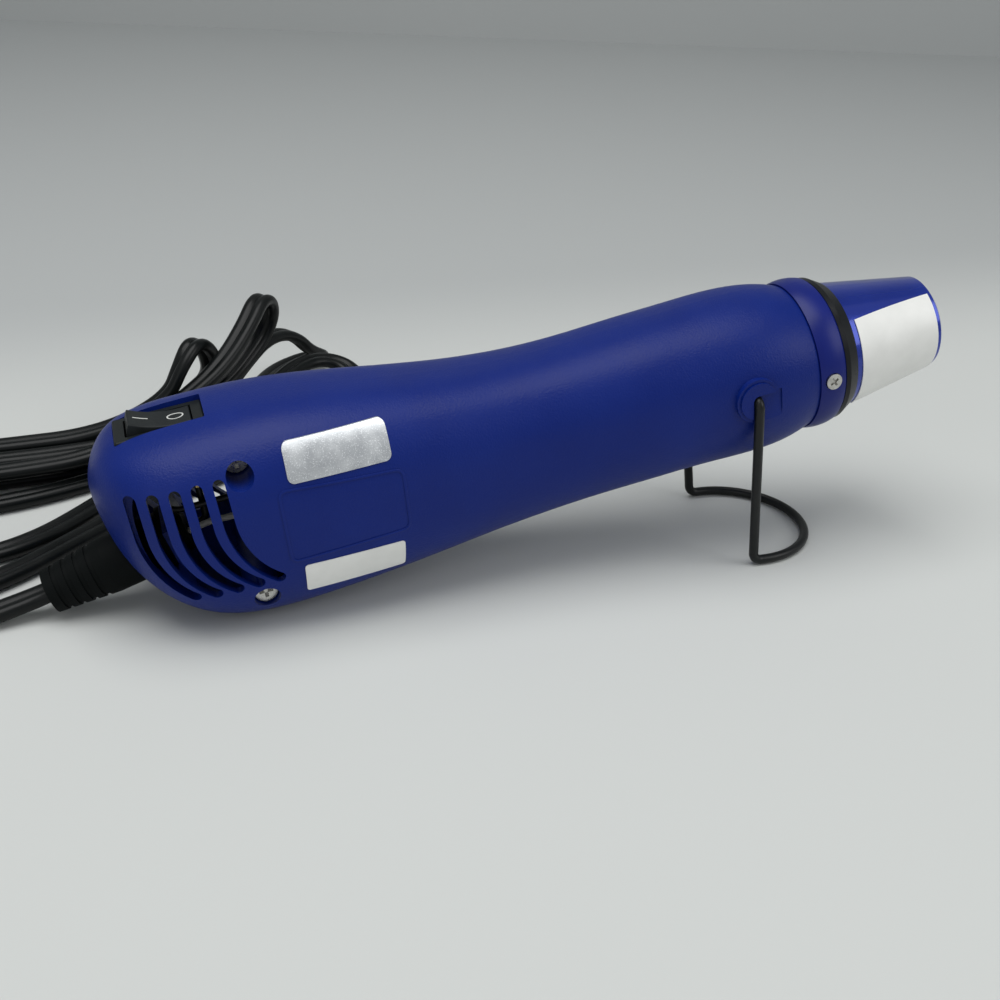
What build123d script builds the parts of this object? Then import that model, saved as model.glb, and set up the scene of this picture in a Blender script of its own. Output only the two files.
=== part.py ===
from build123d import *
from math import asin, ceil, copysign, cos, degrees, pi, radians, sin, sqrt, tan
import os

os.makedirs("parts", exist_ok=True)

# An embossing heat tool: a hand-held hot-air blower with a wire stand.
# It is drawn along its own axis, +X towards the nozzle and +Z towards the switch,
# and at the end it is tilted until its belly and the foot of its stand are on the table.
# Right means the side of -Y. Lengths are in millimetres, angles in degrees.

# Shared clearances and overruns
overrun = 1.0
straight_share = 0.999999
fit_gap = 0.1
running_gap = 0.05
moving_gap = 0.3

# Resting pose
rest_angle = 10.2

# Housing: two moulded shells that meet on the middle plane
housing_length = 179.5
crown_height = 28.0
belly_depth = 25.3
half_breadth = 25.3
neck_radius = 19.2
wall = 2.0
squareness_share = 2.74
neck_squareness_share = 2.0
round_length = 100.0
section_points = 20
station_shares = [
    0.0, 0.006, 0.017, 0.028, 0.045, 0.067, 0.1, 0.145, 0.21, 0.3,
    0.4, 0.5, 0.585, 0.67, 0.75, 0.835, 0.9, 0.945, 0.975,
]
crown_shares = [
    0.579, 0.682, 0.789, 0.857, 0.92, 0.957, 0.98, 0.99, 0.988, 0.932,
    0.83, 0.739, 0.7, 0.705, 0.736, 0.764, 0.78, 0.766, 0.734,
]
belly_shares = [
    -0.41, -0.178, 0.079, 0.249, 0.439, 0.617, 0.798, 0.937, 0.996, 0.984,
    0.943, 0.889, 0.856, 0.838, 0.834, 0.835, 0.85, 0.842, 0.81,
]
breadth_shares = [
    0.126, 0.316, 0.522, 0.654, 0.791, 0.901, 0.98, 1.0, 0.994, 0.957,
    0.883, 0.81, 0.773, 0.768, 0.792, 0.819, 0.844, 0.838, 0.808,
]

# Spigot at the front of the shells, under the collar
spigot_length = 5.5
spigot_radius = 18.3
spigot_wall = 2.0

# Rocker switch and its seat in the crown
switch_station = 19.1
bezel_length = 21.0
bezel_width = 13.4
bezel_thickness = 1.2
bezel_top = 26.3
bezel_corner = 0.6
bezel_round_share = 0.7
switch_length = 19.0
switch_width = 12.0
switch_depth = 11.0
switch_wall = 1.4
rocker_opening = 15.8
rocker_width = 8.9
rocker_reach = 7.6
rocker_corner_angle = 23.0
rocker_throw = 22.0
rocker_pivot_drop = 1.4
rocker_waist = 1.9
rocker_depth = 3.6
rocker_edge = 0.4
trunnion_radius = 0.9
trunnion_length = 0.9
terminal_width = 4.8
terminal_thickness = 0.8
terminal_length = 6.0
terminal_spacing = 9.0

# Housing screws in their posts
screw_stations = [33.6, 32.5]
screw_heights = [18.0, -14.3]
screw_seats = [12.0, 17.5]
screw_radius = 1.45
screw_length = 24.0
screw_head_radius = 2.8
screw_head_height = 2.2
recess_radius = 3.15
post_radius = 4.6
pilot_post_radius = 3.6
cross_width = 0.9
cross_length = 3.4
cross_depth = 1.1
small_cross_share = 0.7
small_cross_turn = 30.0

# Intake slots on both sides
slot_count = 5
slot_first = 8.9
slot_pitch = 4.92
slot_width = 2.7
slot_top = 17.3
slot_knee = 8.5
slot_drop = 17.2
slot_sweep = 7.9
slot_bite = 9.0

# Wire stand and the bosses that carry it
pivot_station = 160.8
pivot_height = 1.3
boss_radius = 5.8
boss_face_radius = 4.9
boss_step = 0.5
boss_face = 22.5
boss_floor = 20.9
wire_radius = 1.25
leg_plane = 22.8
leg_lean = 7.0
foot_half_width = 20.4
foot_run = 3.3
wire_bend = 2.5
wire_insert = 4.5

# Collar, heat ring, shield and hot-air tube at the nose
collar_length = 7.4
collar_radius = 20.1
collar_end_radius = 19.6
collar_gap = 0.1
collar_round = 0.6
collar_screw_radius = 0.95
collar_screw_length = 4.0
collar_screw_head_radius = 2.1
collar_screw_head_height = 1.2
collar_screw_stand = 0.35
collar_screw_station = 182.8
heat_ring_length = 4.3
heat_ring_radius = 19.2
heat_ring_edge = 0.35
heat_ring_land_share = 0.3
shield_base_radius = 17.0
shield_mouth_radius = 12.3
shield_length = 28.0
shield_wall = 1.2
shield_flange_radius = 18.2
shield_lip = 0.5
tube_radius = 10.5
tube_wall = 0.4
tube_setback = 2.5
tube_tail = 12.0
tube_disc = 0.6
tube_disc_vents = 6
tube_disc_vent_radius = 1.6

# Heater
sleeve_radius = 9.9
sleeve_wall = 0.5
sleeve_start = 152.5
sleeve_setback = 5.0
card_half_width = 6.9
card_thickness = 0.5
card_start = 160.0
card_length = 44.0
card_tongue = 11.0
card_tongue_width = 5.0
coil_wire_radius = 0.35
coil_radius = 7.45
coil_pitch = 3.0
coil_turns = 13
cutoff_length = 6.5
cutoff_width = 4.4
cutoff_height = 2.6
fuse_radius = 1.2
fuse_length = 7.0

# Air guide: fan duct, stator vanes and the ring that holds the motor
duct_radius = 17.0
duct_wall = 1.0
duct_start = 108.0
duct_length = 34.0
guide_taper = 10.5
socket_length = 8.0
socket_wall = 1.2
vane_count = 5
vane_thickness = 1.2
vane_start = 124.0
vane_length = 9.0
vane_hub_radius = 5.5
motor_ring_start = 93.0
motor_ring_length = 9.0
motor_ring_wall = 1.6
arm_count = 4
arm_thickness = 2.2
rib_thickness = 2.0
rib_stations = [113.0, 137.0]

# Motor and fan
motor_front = 103.0
motor_length = 25.0
motor_radius = 12.1
motor_wall = 0.7
motor_boss_radius = 3.6
motor_boss_length = 1.6
bush_radius = 3.0
bush_length = 2.3
shaft_radius = 1.0
shaft_tail = 3.5
shaft_nose = 18.0
magnet_inner_radius = 9.3
magnet_length = 18.0
magnet_angle = 130.0
armature_radius = 8.8
armature_length = 12.0
armature_core_radius = 3.6
armature_tooth = 2.6
armature_tip = 1.8
armature_tip_angle = 84.0
pole_count = 3
winding_thickness = 1.7
winding_reach = 1.1
commutator_radius = 2.6
commutator_length = 3.4
endcap_thickness = 2.4
brush_width = 2.2
brush_length = 4.6
brush_share = 0.8
motor_tab_width = 2.4
motor_tab_thickness = 0.4
motor_tab_length = 9.0
motor_tab_offset = 7.4
fan_start = 111.0
fan_length = 9.0
fan_radius = 15.4
fan_hub_radius = 4.2
fan_blades = 7
blade_thickness = 1.1
blade_chord = 9.6
blade_angle = 38.0

# Rectifier board behind the motor
board_setback = 6.2
board_thickness = 1.6
board_width = 21.0
board_height = 17.0
diode_radius = 1.35
diode_length = 5.0
diode_pitch = 4.2
diode_count = 4

# Strain relief and inner leads
relief_angle = 10.8
relief_station = 4.6
relief_height = -5.9
relief_root_radius = 7.1
relief_tip_radius = 5.55
relief_length = 21.5
relief_collar = 6.2
relief_ribs = 4
relief_rib_groove = 0.45
relief_groove_width = 1.3
relief_neck_radius = 5.0
relief_flange_radius = 8.0
relief_flange = 1.8
relief_depth = 9.0
relief_saddle = 2.0
relief_tail = 1.5
lead_radius = 0.8
lead_spacing = 2.4
lead_bend = 4.0
lead_pass_spacing = 3.0
lead_pass_height = -18.1
lead_entry = 150.5
neutral_turn = 24.0
switched_turn = 36.0
lead_dip = 62.0
switched_height = 3.0
board_inlet_side = -6.0
board_inlet_height = 0.0
rib_notch = 5.4

# Adhesive labels on the right shell and on the shield
label_thickness = 0.25
badge_station = 56.1
badge_height = 17.1
badge_length = 24.6
badge_width = 8.6
badge_corner = 1.6
badge_turn = -3.8
notice_station = 54.5
notice_height = -12.6
notice_length = 24.6
notice_width = 8.2
notice_turn = -4.8
wrap_start = 1.6
wrap_length = 24.6
wrap_angle = 108.0
wrap_middle = -4.0
wrap_slant = 14.0

# Cord, its tie and its plug; the route is given on the table, from the housing's rear end,
# after the straight start that follows the strain relief
cord_radius = 2.3
cord_flat_limit = 3.5
hank_first = 5
hank_last = 86
gap_skip = 25.0
tie_station = -50.0
tie_middle = 72.9
tie_breadth = 24.4
tie_height = 13.2
tie_corner = 4.0
tie_thickness = 0.8
tie_width = 4.0
tie_knot_share = 0.7
tie_knot_length = 5.0
tie_knot_height = 1.6
plug_length = 30.0
plug_neck_length = 12.0
plug_neck_breadth = 9.0
plug_neck_height = 7.0
plug_breadth = 22.0
plug_height = 13.6
plug_corner = 4.0
blade_spacing = 12.7
blade_gauge = 1.5
blade_width = 6.3
blade_length = 16.0
cord_route = [
    (-33.0, -3.0, 2.5), (-62.0, -12.0, 2.5), (-88.0, -14.0, 2.5), (-102.0, 0.0, 2.5),
    (-88.0, 13.0, 2.5), (-55.0, 4.0, 2.5), (-27.0, 14.0, 2.5), (-2.0, 38.0, 2.5), (22.0, 56.0, 2.5),
    (46.0, 72.0, 2.5), (70.0, 90.0, 2.5), (86.0, 106.0, 4.0), (84.1, 122.0, 7.8), (76.3, 126.0, 10.8),
    (66.5, 122.0, 11.2), (57.8, 112.0, 9.8), (38.0, 86.0, 2.5), (20.0, 71.0, 2.5), (6.0, 60.0, 2.5),
    (-6.0, 46.0, 2.5), (-17.0, 35.0, 2.5), (-30.0, 28.0, 2.5), (-55.0, 25.0, 2.5), (-84.0, 28.0, 2.5),
    (-100.0, 43.0, 2.5), (-84.0, 57.0, 2.5), (-55.0, 56.0, 2.5), (-27.0, 57.0, 2.5), (0.0, 67.0, 2.5),
    (20.0, 80.0, 2.5), (34.0, 92.0, 6.0), (39.6, 108.0, 10.6), (47.0, 116.0, 15.5), (54.5, 124.0, 19.6),
    (61.7, 130.0, 19.6), (67.6, 134.0, 15.9), (71.6, 136.0, 10.9), (77.5, 141.5, 6.2),
    (73.5, 147.5, 3.6), (61.0, 140.0, 2.5), (53.0, 126.0, 2.5), (44.0, 110.0, 2.5), (20.0, 88.0, 2.5),
    (0.0, 75.0, 2.5), (-27.0, 72.0, 2.5), (-50.0, 69.6, 3.3), (-70.0, 76.0, 3.0), (-96.0, 84.0, 3.0),
    (-113.0, 69.0, 5.0), (-98.0, 54.0, 8.5), (-72.0, 58.0, 8.7), (-50.0, 64.6, 8.7), (-27.0, 64.5, 8.6),
    (3.0, 68.0, 9.6), (29.9, 78.0, 23.7), (39.4, 86.0, 29.6), (46.5, 94.0, 36.4), (51.1, 101.0, 41.7),
    (54.5, 106.0, 39.8), (55.1, 108.0, 34.1), (51.8, 107.0, 27.0), (44.7, 101.0, 20.8),
    (37.8, 94.0, 17.1), (16.0, 78.0, 9.4), (-5.0, 74.0, 8.6), (-27.0, 72.5, 8.6), (-50.0, 72.4, 8.7),
    (-64.0, 70.0, 13.2), (-84.0, 66.0, 14.0), (-100.0, 80.0, 14.0), (-84.0, 94.0, 14.0),
    (-64.0, 88.0, 13.2), (-50.0, 80.6, 9.0), (-27.0, 81.0, 9.2), (0.0, 81.0, 10.2), (20.3, 80.0, 19.9),
    (25.3, 82.0, 29.8), (29.9, 87.0, 35.1), (34.3, 94.0, 29.3), (36.2, 101.0, 18.2),
    (29.0, 108.0, 10.0), (18.0, 105.0, 2.5), (4.0, 93.0, 2.5), (-27.0, 84.0, 2.5), (-50.0, 77.4, 3.3),
    (-78.0, 92.0, 2.5), (-104.0, 97.0, 2.5), (-122.0, 111.0, 3.5), (-108.0, 126.0, 6.8),
    (-101.0, 126.0, 7.0),
]



def ring(station, top, bottom, half_width, power):
    """One closed cross-section of the housing, between an ellipse and a rounded square."""
    middle = (top + bottom) / 2
    half_height = (top - bottom) / 2
    points = []
    for step in range(section_points):
        turn = 2 * pi * step / section_points
        across = half_width * copysign(abs(cos(turn)) ** (2 / power), cos(turn))
        rise = half_height * copysign(abs(sin(turn)) ** (2 / power), sin(turn))
        points.append((across, middle + rise))
    with BuildSketch(Plane.YZ.offset(station)) as outline:
        with BuildLine():
            Spline(points, periodic=True)
        make_face()
    return outline.sketch


def body_rings(inset):
    """The housing's cross-sections, all moved inwards by one distance."""
    rings = []
    for share, crown, belly, breadth in zip(station_shares, crown_shares, belly_shares, breadth_shares):
        place = share * housing_length
        top = crown * crown_height - inset
        bottom = inset - belly * belly_depth
        half_width = breadth * half_breadth - inset
        if inset > 0 and min(top - bottom, 2 * half_width) < 3 * inset:
            continue
        blend = min((housing_length - place) / round_length, 1)
        power = neck_squareness_share + (squareness_share - neck_squareness_share) * blend
        station = max(inset, 0) + place * (housing_length - max(inset, 0)) / housing_length
        rings.append(ring(station, top, bottom, half_width, power))
    mouth = neck_radius - inset
    rings.append(ring(housing_length, mouth, -mouth, mouth, neck_squareness_share))
    return rings


def lead(points, bends):
    """An insulated single lead along straight runs with rounded corners."""
    with BuildPart() as wire:
        with BuildLine() as path:
            FilletPolyline(*points, radius=bends)
        with BuildSketch(Plane(origin=path.line @ 0, z_dir=path.line % 0)):
            Circle(lead_radius)
        sweep(path=path.line)
    return wire


def slot_outline(start):
    """One intake slot: straight at the top, then bending forwards."""
    half = slot_width / 2
    bend = (slot_sweep**2 + slot_drop**2) / (2 * slot_sweep)
    swing = asin(slot_drop / bend)
    middle = start + bend

    def on_bend(radius, turn):
        return (middle - radius * cos(turn), slot_knee - radius * sin(turn))

    tip = on_bend(bend, swing)
    tip = (tip[0] + half * sin(swing), tip[1] - half * cos(swing))
    with BuildLine() as outline:
        Line((start - half, slot_top), (start - half, slot_knee))
        for radius, knee in ((bend + half, start - half), (bend - half, start + half)):
            ThreePointArc((knee, slot_knee), on_bend(radius, swing / 2), on_bend(radius, swing))
        ThreePointArc(on_bend(bend + half, swing), tip, on_bend(bend - half, swing))
        Line((start + half, slot_knee), (start + half, slot_top))
        ThreePointArc((start + half, slot_top), (start, slot_top + half), (start - half, slot_top))
    return outline.line


bezel_floor = bezel_top - bezel_thickness
spigot_end = housing_length + spigot_length
leg_rest = leg_lean - 90 - rest_angle
relief_direction = (-cos(radians(relief_angle)), 0, -sin(radians(relief_angle)))
relief_plane = Plane(origin=(relief_station, 0, relief_height), x_dir=(0, 1, 0), z_dir=relief_direction)

# Solid outer form of the housing and the space inside it
with BuildPart() as outer_form:
    loft(body_rings(0))

with BuildPart() as inner_space:
    loft(body_rings(wall))

# Ribs that hold the air guide, all round
with BuildPart() as guide_ribs:
    for station in rib_stations:
        with BuildSketch(Plane.YZ.offset(station)):
            Circle(half_breadth)
            Circle(duct_radius + fit_gap, mode=Mode.SUBTRACT)
            Rectangle(rib_notch, belly_depth, align=(Align.CENTER, Align.MAX), mode=Mode.SUBTRACT)
        extrude(amount=rib_thickness)
    add(outer_form.part, mode=Mode.INTERSECT)

# Plate that traps the flange of the strain relief
with BuildPart() as relief_plate:
    with BuildSketch(relief_plane.offset(-relief_depth - relief_flange - relief_saddle)):
        Rectangle(2 * half_breadth, 2 * relief_flange_radius + 2 * wall)
        Circle(relief_neck_radius + fit_gap, mode=Mode.SUBTRACT)
        Rectangle(rib_notch, half_breadth, align=(Align.CENTER, Align.MAX), mode=Mode.SUBTRACT)
    extrude(amount=relief_saddle - fit_gap)
    add(outer_form.part, mode=Mode.INTERSECT)

# Every intake slot, cut straight through from both sides
with BuildPart() as intake_slots:
    with BuildSketch(Plane.XZ):
        for slot in range(slot_count):
            with BuildLine():
                add(slot_outline(slot_first + slot * slot_pitch))
            make_face()
    extrude(amount=half_breadth + overrun, both=True)
    Box(
        2 * housing_length, 2 * (half_breadth - slot_bite), 2 * (crown_height + belly_depth),
        mode=Mode.SUBTRACT,
    )

# Seat and opening of the rocker switch
with BuildPart() as switch_seat:
    with BuildSketch(Plane.XY.offset(bezel_floor)):
        with Locations((switch_station, 0)):
            RectangleRounded(bezel_length + 2 * fit_gap, bezel_width + 2 * fit_gap, bezel_corner)
    extrude(amount=crown_height)
    with BuildSketch(Plane.XY.offset(bezel_floor)):
        with Locations((switch_station, 0)):
            Rectangle(switch_length + 2 * fit_gap, switch_width + 2 * fit_gap)
    extrude(amount=-wall - crown_height + bezel_floor - overrun)

# Straight passage of the strain relief through the rear wall
with BuildPart() as relief_passage:
    with BuildSketch(relief_plane.offset(-relief_depth)):
        Circle(relief_root_radius + fit_gap)
    extrude(amount=relief_depth + relief_root_radius)


def screw_posts(side, radius):
    """Posts from the middle plane to the outer wall, for the two housing screws."""
    with BuildPart() as posts:
        with BuildSketch(Plane.XZ):
            with Locations(*zip(screw_stations, screw_heights)):
                Circle(radius)
        extrude(amount=-side * half_breadth)
        add(outer_form.part, mode=Mode.INTERSECT)
    return posts.part


def housing_shell(side):
    """One half of the housing: side is -1 for the right shell and 1 for the left one."""
    posts = screw_posts(side, post_radius if side < 0 else pilot_post_radius)
    boss_root = boss_floor - wall
    with BuildPart() as shell:
        add(outer_form.part)
        add(inner_space.part, mode=Mode.SUBTRACT)
        add(guide_ribs.part)
        add(relief_plate.part)
        # Spigot under the collar
        with BuildSketch(Plane.XZ):
            with BuildLine():
                Polyline(
                    (housing_length - wall, spigot_radius - spigot_wall),
                    (housing_length - wall, spigot_radius),
                    (spigot_end, spigot_radius),
                    (spigot_end, spigot_radius - spigot_wall),
                    close=True,
                )
            make_face()
        revolve(axis=Axis.X)
        split(bisect_by=Plane.XZ, keep=Keep.TOP if side < 0 else Keep.BOTTOM)
        add(posts)
        # Stand boss: a stepped disc on the flank
        for radius, face in ((boss_radius, boss_face - boss_step), (boss_face_radius, boss_face)):
            with BuildSketch(Plane.XZ.offset(-side * boss_root)):
                with Locations((pivot_station, pivot_height)):
                    Circle(radius)
            extrude(amount=-side * (face - boss_root))
        # Quarter that the leg of the stand crosses, with its stop edges and its hole
        half = wire_radius + moving_gap
        reach = boss_radius + overrun
        rest = radians(leg_rest)
        with BuildSketch(Plane.XZ.offset(-side * boss_floor)):
            with Locations((pivot_station, pivot_height)):
                Circle(half)
                Rectangle(reach, 2 * half, align=(Align.MIN, Align.CENTER))
                Rectangle(reach, 2 * half, rotation=leg_rest, align=(Align.MIN, Align.CENTER))
                wedge = [(0, 0), (reach, 0), (reach, -reach), (reach * cos(rest), reach * sin(rest))]
                Polygon(*wedge, align=None)
        extrude(amount=-side * (boss_face - boss_floor + overrun), mode=Mode.SUBTRACT)
        with BuildSketch(Plane.XZ.offset(-side * boss_face)):
            with Locations((pivot_station, pivot_height)):
                Circle(wire_radius + running_gap)
        extrude(amount=side * (wall + boss_face - boss_root + overrun), mode=Mode.SUBTRACT)
        # Openings
        add(intake_slots.part, mode=Mode.SUBTRACT)
        add(switch_seat.part, mode=Mode.SUBTRACT)
        add(relief_passage.part, mode=Mode.SUBTRACT)
        # Screw holes: recess, seat and shank on the right, blind pilot holes on the left
        for station, height, seat in zip(screw_stations, screw_heights, screw_seats):
            if side < 0:
                with BuildSketch(Plane.XZ.offset(seat)):
                    with Locations((station, height)):
                        Circle(recess_radius)
                extrude(amount=half_breadth, mode=Mode.SUBTRACT)
                reach = seat
            else:
                reach = screw_length - seat + overrun
            with BuildSketch(Plane.XZ):
                with Locations((station, height)):
                    Circle(screw_radius + running_gap)
            extrude(amount=-side * reach, mode=Mode.SUBTRACT)
        # Pilot hole of the collar screw
        with BuildSketch(Plane.XZ):
            with Locations((collar_screw_station, 0)):
                Circle(collar_screw_radius + running_gap)
        extrude(amount=-side * (neck_radius + overrun), mode=Mode.SUBTRACT)
    return shell


housing_right = housing_shell(-1)
housing_right.part.label = "housing_right"
housing_left = housing_shell(1)
housing_left.part.label = "housing_left"

# Nose: collar, heat ring, shield and hot-air tube, turned about the tool's axis
collar_start = housing_length + collar_gap
collar_end = collar_start + collar_length
ring_end = collar_end + heat_ring_length
shield_end = ring_end + shield_length
shield_slope = (shield_base_radius - shield_mouth_radius) / shield_length


def shield_radius(station):
    """Outer radius of the shield's cone at a station along the tool."""
    return shield_mouth_radius + (shield_end - station) * shield_slope


with BuildPart() as collar:
    with BuildSketch(Plane.XZ):
        with BuildLine():
            Polyline(
                (collar_end - collar_round, collar_end_radius),
                (collar_end, collar_end_radius - collar_round),
                (collar_end, spigot_radius + fit_gap),
                (collar_start, spigot_radius + fit_gap),
                (collar_start, collar_end_radius),
            )
            ThreePointArc(
                (collar_start, collar_end_radius),
                (collar_start + collar_length / 2, collar_radius),
                (collar_end - collar_round, collar_end_radius),
            )
        make_face()
    revolve(axis=Axis.X)
    with BuildSketch(Plane.XZ):
        with Locations((collar_screw_station, 0)):
            Circle(collar_screw_radius + running_gap)
    extrude(amount=collar_radius + overrun, both=True, mode=Mode.SUBTRACT)
    collar_seat = collar_radius + collar_screw_stand - collar_screw_head_height
    for side in (-1, 1):
        with BuildSketch(Plane.XZ.offset(side * collar_seat)):
            with Locations((collar_screw_station, 0)):
                Circle(collar_screw_head_radius + fit_gap)
        extrude(amount=side * collar_radius, mode=Mode.SUBTRACT)
collar.part.label = "collar"

with BuildPart() as heat_ring:
    with BuildSketch(Plane.XZ):
        with BuildLine():
            Polyline(
                (collar_end, shield_radius(collar_end) + fit_gap),
                (collar_end, heat_ring_radius),
                (collar_end + heat_ring_length * heat_ring_land_share, heat_ring_radius),
                (ring_end, shield_radius(ring_end) + fit_gap + heat_ring_edge),
                (ring_end, shield_radius(ring_end) + fit_gap),
                close=True,
            )
        make_face()
    revolve(axis=Axis.X)
heat_ring.part.label = "heat_ring"

disc_start = spigot_end + fit_gap
disc_end = disc_start + tube_disc
flange_start = disc_end + fit_gap
with BuildPart() as nozzle_shield:
    with BuildSketch(Plane.XZ):
        with BuildLine():
            Polyline(
                (shield_end - shield_lip, shield_mouth_radius + shield_lip * shield_slope),
                (collar_end, shield_radius(collar_end)),
                (collar_end, shield_flange_radius),
                (flange_start, shield_flange_radius),
                (flange_start, shield_radius(flange_start) - shield_wall),
                (shield_end, shield_mouth_radius - shield_wall),
                (shield_end, shield_mouth_radius - shield_lip),
                close=True,
            )
        make_face()
    revolve(axis=Axis.X)
nozzle_shield.part.label = "nozzle_shield"

tube_end = shield_end - tube_setback
with BuildPart() as hot_air_tube:
    with BuildSketch(Plane.XZ):
        with BuildLine():
            Polyline(
                (disc_start - tube_tail, tube_radius - tube_wall),
                (disc_start - tube_tail, tube_radius),
                (disc_start, tube_radius),
                (disc_start, shield_flange_radius),
                (disc_end, shield_flange_radius),
                (disc_end, tube_radius),
                (tube_end, tube_radius),
                (tube_end, tube_radius - tube_wall),
                close=True,
            )
        make_face()
    revolve(axis=Axis.X)
    with BuildSketch(Plane.YZ.offset(disc_end)):
        with PolarLocations((tube_radius + spigot_radius - spigot_wall) / 2, tube_disc_vents):
            Circle(tube_disc_vent_radius)
    extrude(amount=-tube_disc - overrun, mode=Mode.SUBTRACT)
hot_air_tube.part.label = "hot_air_tube"

# Heater: mica sleeve, two crossed cards, the coil round them and its two safety devices
sleeve_end = shield_end - sleeve_setback
with BuildPart() as mica_sleeve:
    with BuildSketch(Plane.YZ.offset(sleeve_start)):
        Circle(sleeve_radius)
        Circle(sleeve_radius - sleeve_wall, mode=Mode.SUBTRACT)
    extrude(amount=sleeve_end - sleeve_start)
mica_sleeve.part.label = "mica_sleeve"

card_middle = card_start + card_length / 2
card_slit = card_thickness + 2 * running_gap
with BuildPart() as upright_card:
    with BuildSketch(Plane.XZ):
        with Locations((card_middle, 0)):
            Rectangle(card_length, 2 * card_half_width)
        with Locations((card_start - card_tongue, 0)):
            Rectangle(card_tongue, card_tongue_width, align=(Align.MIN, Align.CENTER))
        with Locations((card_middle, 0)):
            Rectangle(card_length, card_slit, align=(Align.MIN, Align.CENTER), mode=Mode.SUBTRACT)
    extrude(amount=card_thickness / 2, both=True)
upright_card.part.label = "mica_card_upright"

with BuildPart() as level_card:
    with BuildSketch(Plane.XY):
        with Locations((card_middle, 0)):
            Rectangle(card_length, 2 * card_half_width)
        with Locations((card_middle, 0)):
            Rectangle(card_length, card_slit, align=(Align.MAX, Align.CENTER), mode=Mode.SUBTRACT)
    extrude(amount=card_thickness / 2, both=True)
level_card.part.label = "mica_card_level"


def coil_point(turns):
    """A point of the heater coil after a number of turns."""
    angle = 2 * pi * turns
    return Vector(coil_start + coil_pitch * turns, coil_radius * cos(angle), coil_radius * sin(angle))


def coil_heading(turns):
    """The coil's direction there."""
    angle = 2 * pi * turns
    run = 2 * pi * coil_radius
    return Vector(coil_pitch, -run * sin(angle), run * cos(angle)).normalized()


def two_arcs(start, start_heading, end, end_heading):
    """Two arcs that leave start and reach end along the given headings, or one straight run."""
    across = end - start
    if across.normalized().dot(start_heading) > straight_share:
        Line(start, end)
        return
    both = start_heading + end_heading
    turn = 2 * (1 - start_heading.dot(end_heading))
    # The smaller root of the arcs' equation, in the form that also holds for equal headings
    root = sqrt(across.dot(both) ** 2 + turn * across.dot(across))
    reach = across.dot(across) / (root + across.dot(both))
    middle = (start + start_heading * reach + end - end_heading * reach) * 0.5
    middle_heading = (end - end_heading * reach) - (start + start_heading * reach)
    TangentArc(start, middle, tangent=start_heading)
    TangentArc(middle, end, tangent=middle_heading)


coil_start = card_middle - coil_pitch * coil_turns / 2
quarter_turns = [step / 4 for step in range(4 * coil_turns + 1)]
with BuildPart() as heater_coil:
    with BuildLine() as coil_path:
        for before, after in zip(quarter_turns, quarter_turns[1:]):
            two_arcs(coil_point(before), coil_heading(before), coil_point(after), coil_heading(after))
    with BuildSketch(Plane(origin=coil_point(0), z_dir=coil_heading(0))):
        Circle(coil_wire_radius)
    sweep(path=coil_path.line)
heater_coil.part.label = "heater_coil"
print("heater coil: least gap between turns", round(coil_pitch - 2 * coil_wire_radius, 2))

with BuildPart() as thermal_cutoff:
    with BuildSketch(Plane.XZ.offset(card_thickness / 2)):
        with Locations((card_start - card_tongue, 0)):
            Rectangle(cutoff_length, cutoff_width, align=(Align.MIN, Align.CENTER))
    extrude(amount=cutoff_height)
    chamfer(thermal_cutoff.faces().sort_by(Axis.Y)[0].edges(), cutoff_height / 5)
thermal_cutoff.part.label = "thermal_cutoff"

with BuildPart() as thermal_fuse:
    with BuildSketch(Plane.YZ.offset(card_start - card_tongue)):
        with Locations((card_thickness / 2 + fuse_radius, 0)):
            Circle(fuse_radius)
    extrude(amount=fuse_length)
thermal_fuse.part.label = "thermal_fuse"

# Air guide: duct round the fan, taper to the sleeve, stator vanes and the motor's ring
duct_end = duct_start + duct_length
taper_end = duct_end + guide_taper
guide_end = taper_end + socket_length
socket_radius = sleeve_radius + fit_gap
with BuildPart() as air_guide:
    with BuildSketch(Plane.XZ):
        with BuildLine():
            Polyline(
                (duct_start, duct_radius),
                (duct_end, duct_radius),
                (taper_end, socket_radius + socket_wall),
                (guide_end, socket_radius + socket_wall),
                (guide_end, socket_radius),
                (taper_end, socket_radius),
                (duct_end, duct_radius - duct_wall),
                (duct_start, duct_radius - duct_wall),
                close=True,
            )
        make_face()
    revolve(axis=Axis.X)
    with BuildSketch(Plane.YZ.offset(motor_ring_start)):
        Circle(motor_radius + running_gap + motor_ring_wall)
        Circle(motor_radius + running_gap, mode=Mode.SUBTRACT)
    extrude(amount=motor_ring_length)
    arm_root = motor_radius + running_gap + motor_ring_wall / 2
    arm_start = motor_ring_start + motor_ring_length / 2
    with BuildSketch(Plane.YZ.offset(arm_start)):
        with PolarLocations(arm_root, arm_count, start_angle=180 / arm_count):
            Rectangle(duct_radius - arm_root, arm_thickness, align=(Align.MIN, Align.CENTER))
    extrude(amount=duct_start - arm_start)
    with BuildSketch(Plane.YZ.offset(vane_start)):
        Circle(vane_hub_radius)
        with PolarLocations(0, vane_count):
            Rectangle(duct_radius - duct_wall / 2, vane_thickness, align=(Align.MIN, Align.CENTER))
    extrude(amount=vane_length)
    # Holes by which the two heater leads come in from below
    with BuildSketch(Plane.XY):
        with Locations((lead_entry, 0)):
            with GridLocations(0, lead_pass_spacing, 1, 2):
                Circle(lead_radius + fit_gap)
    extrude(amount=-duct_radius - overrun, mode=Mode.SUBTRACT)
air_guide.part.label = "air_guide"

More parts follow.
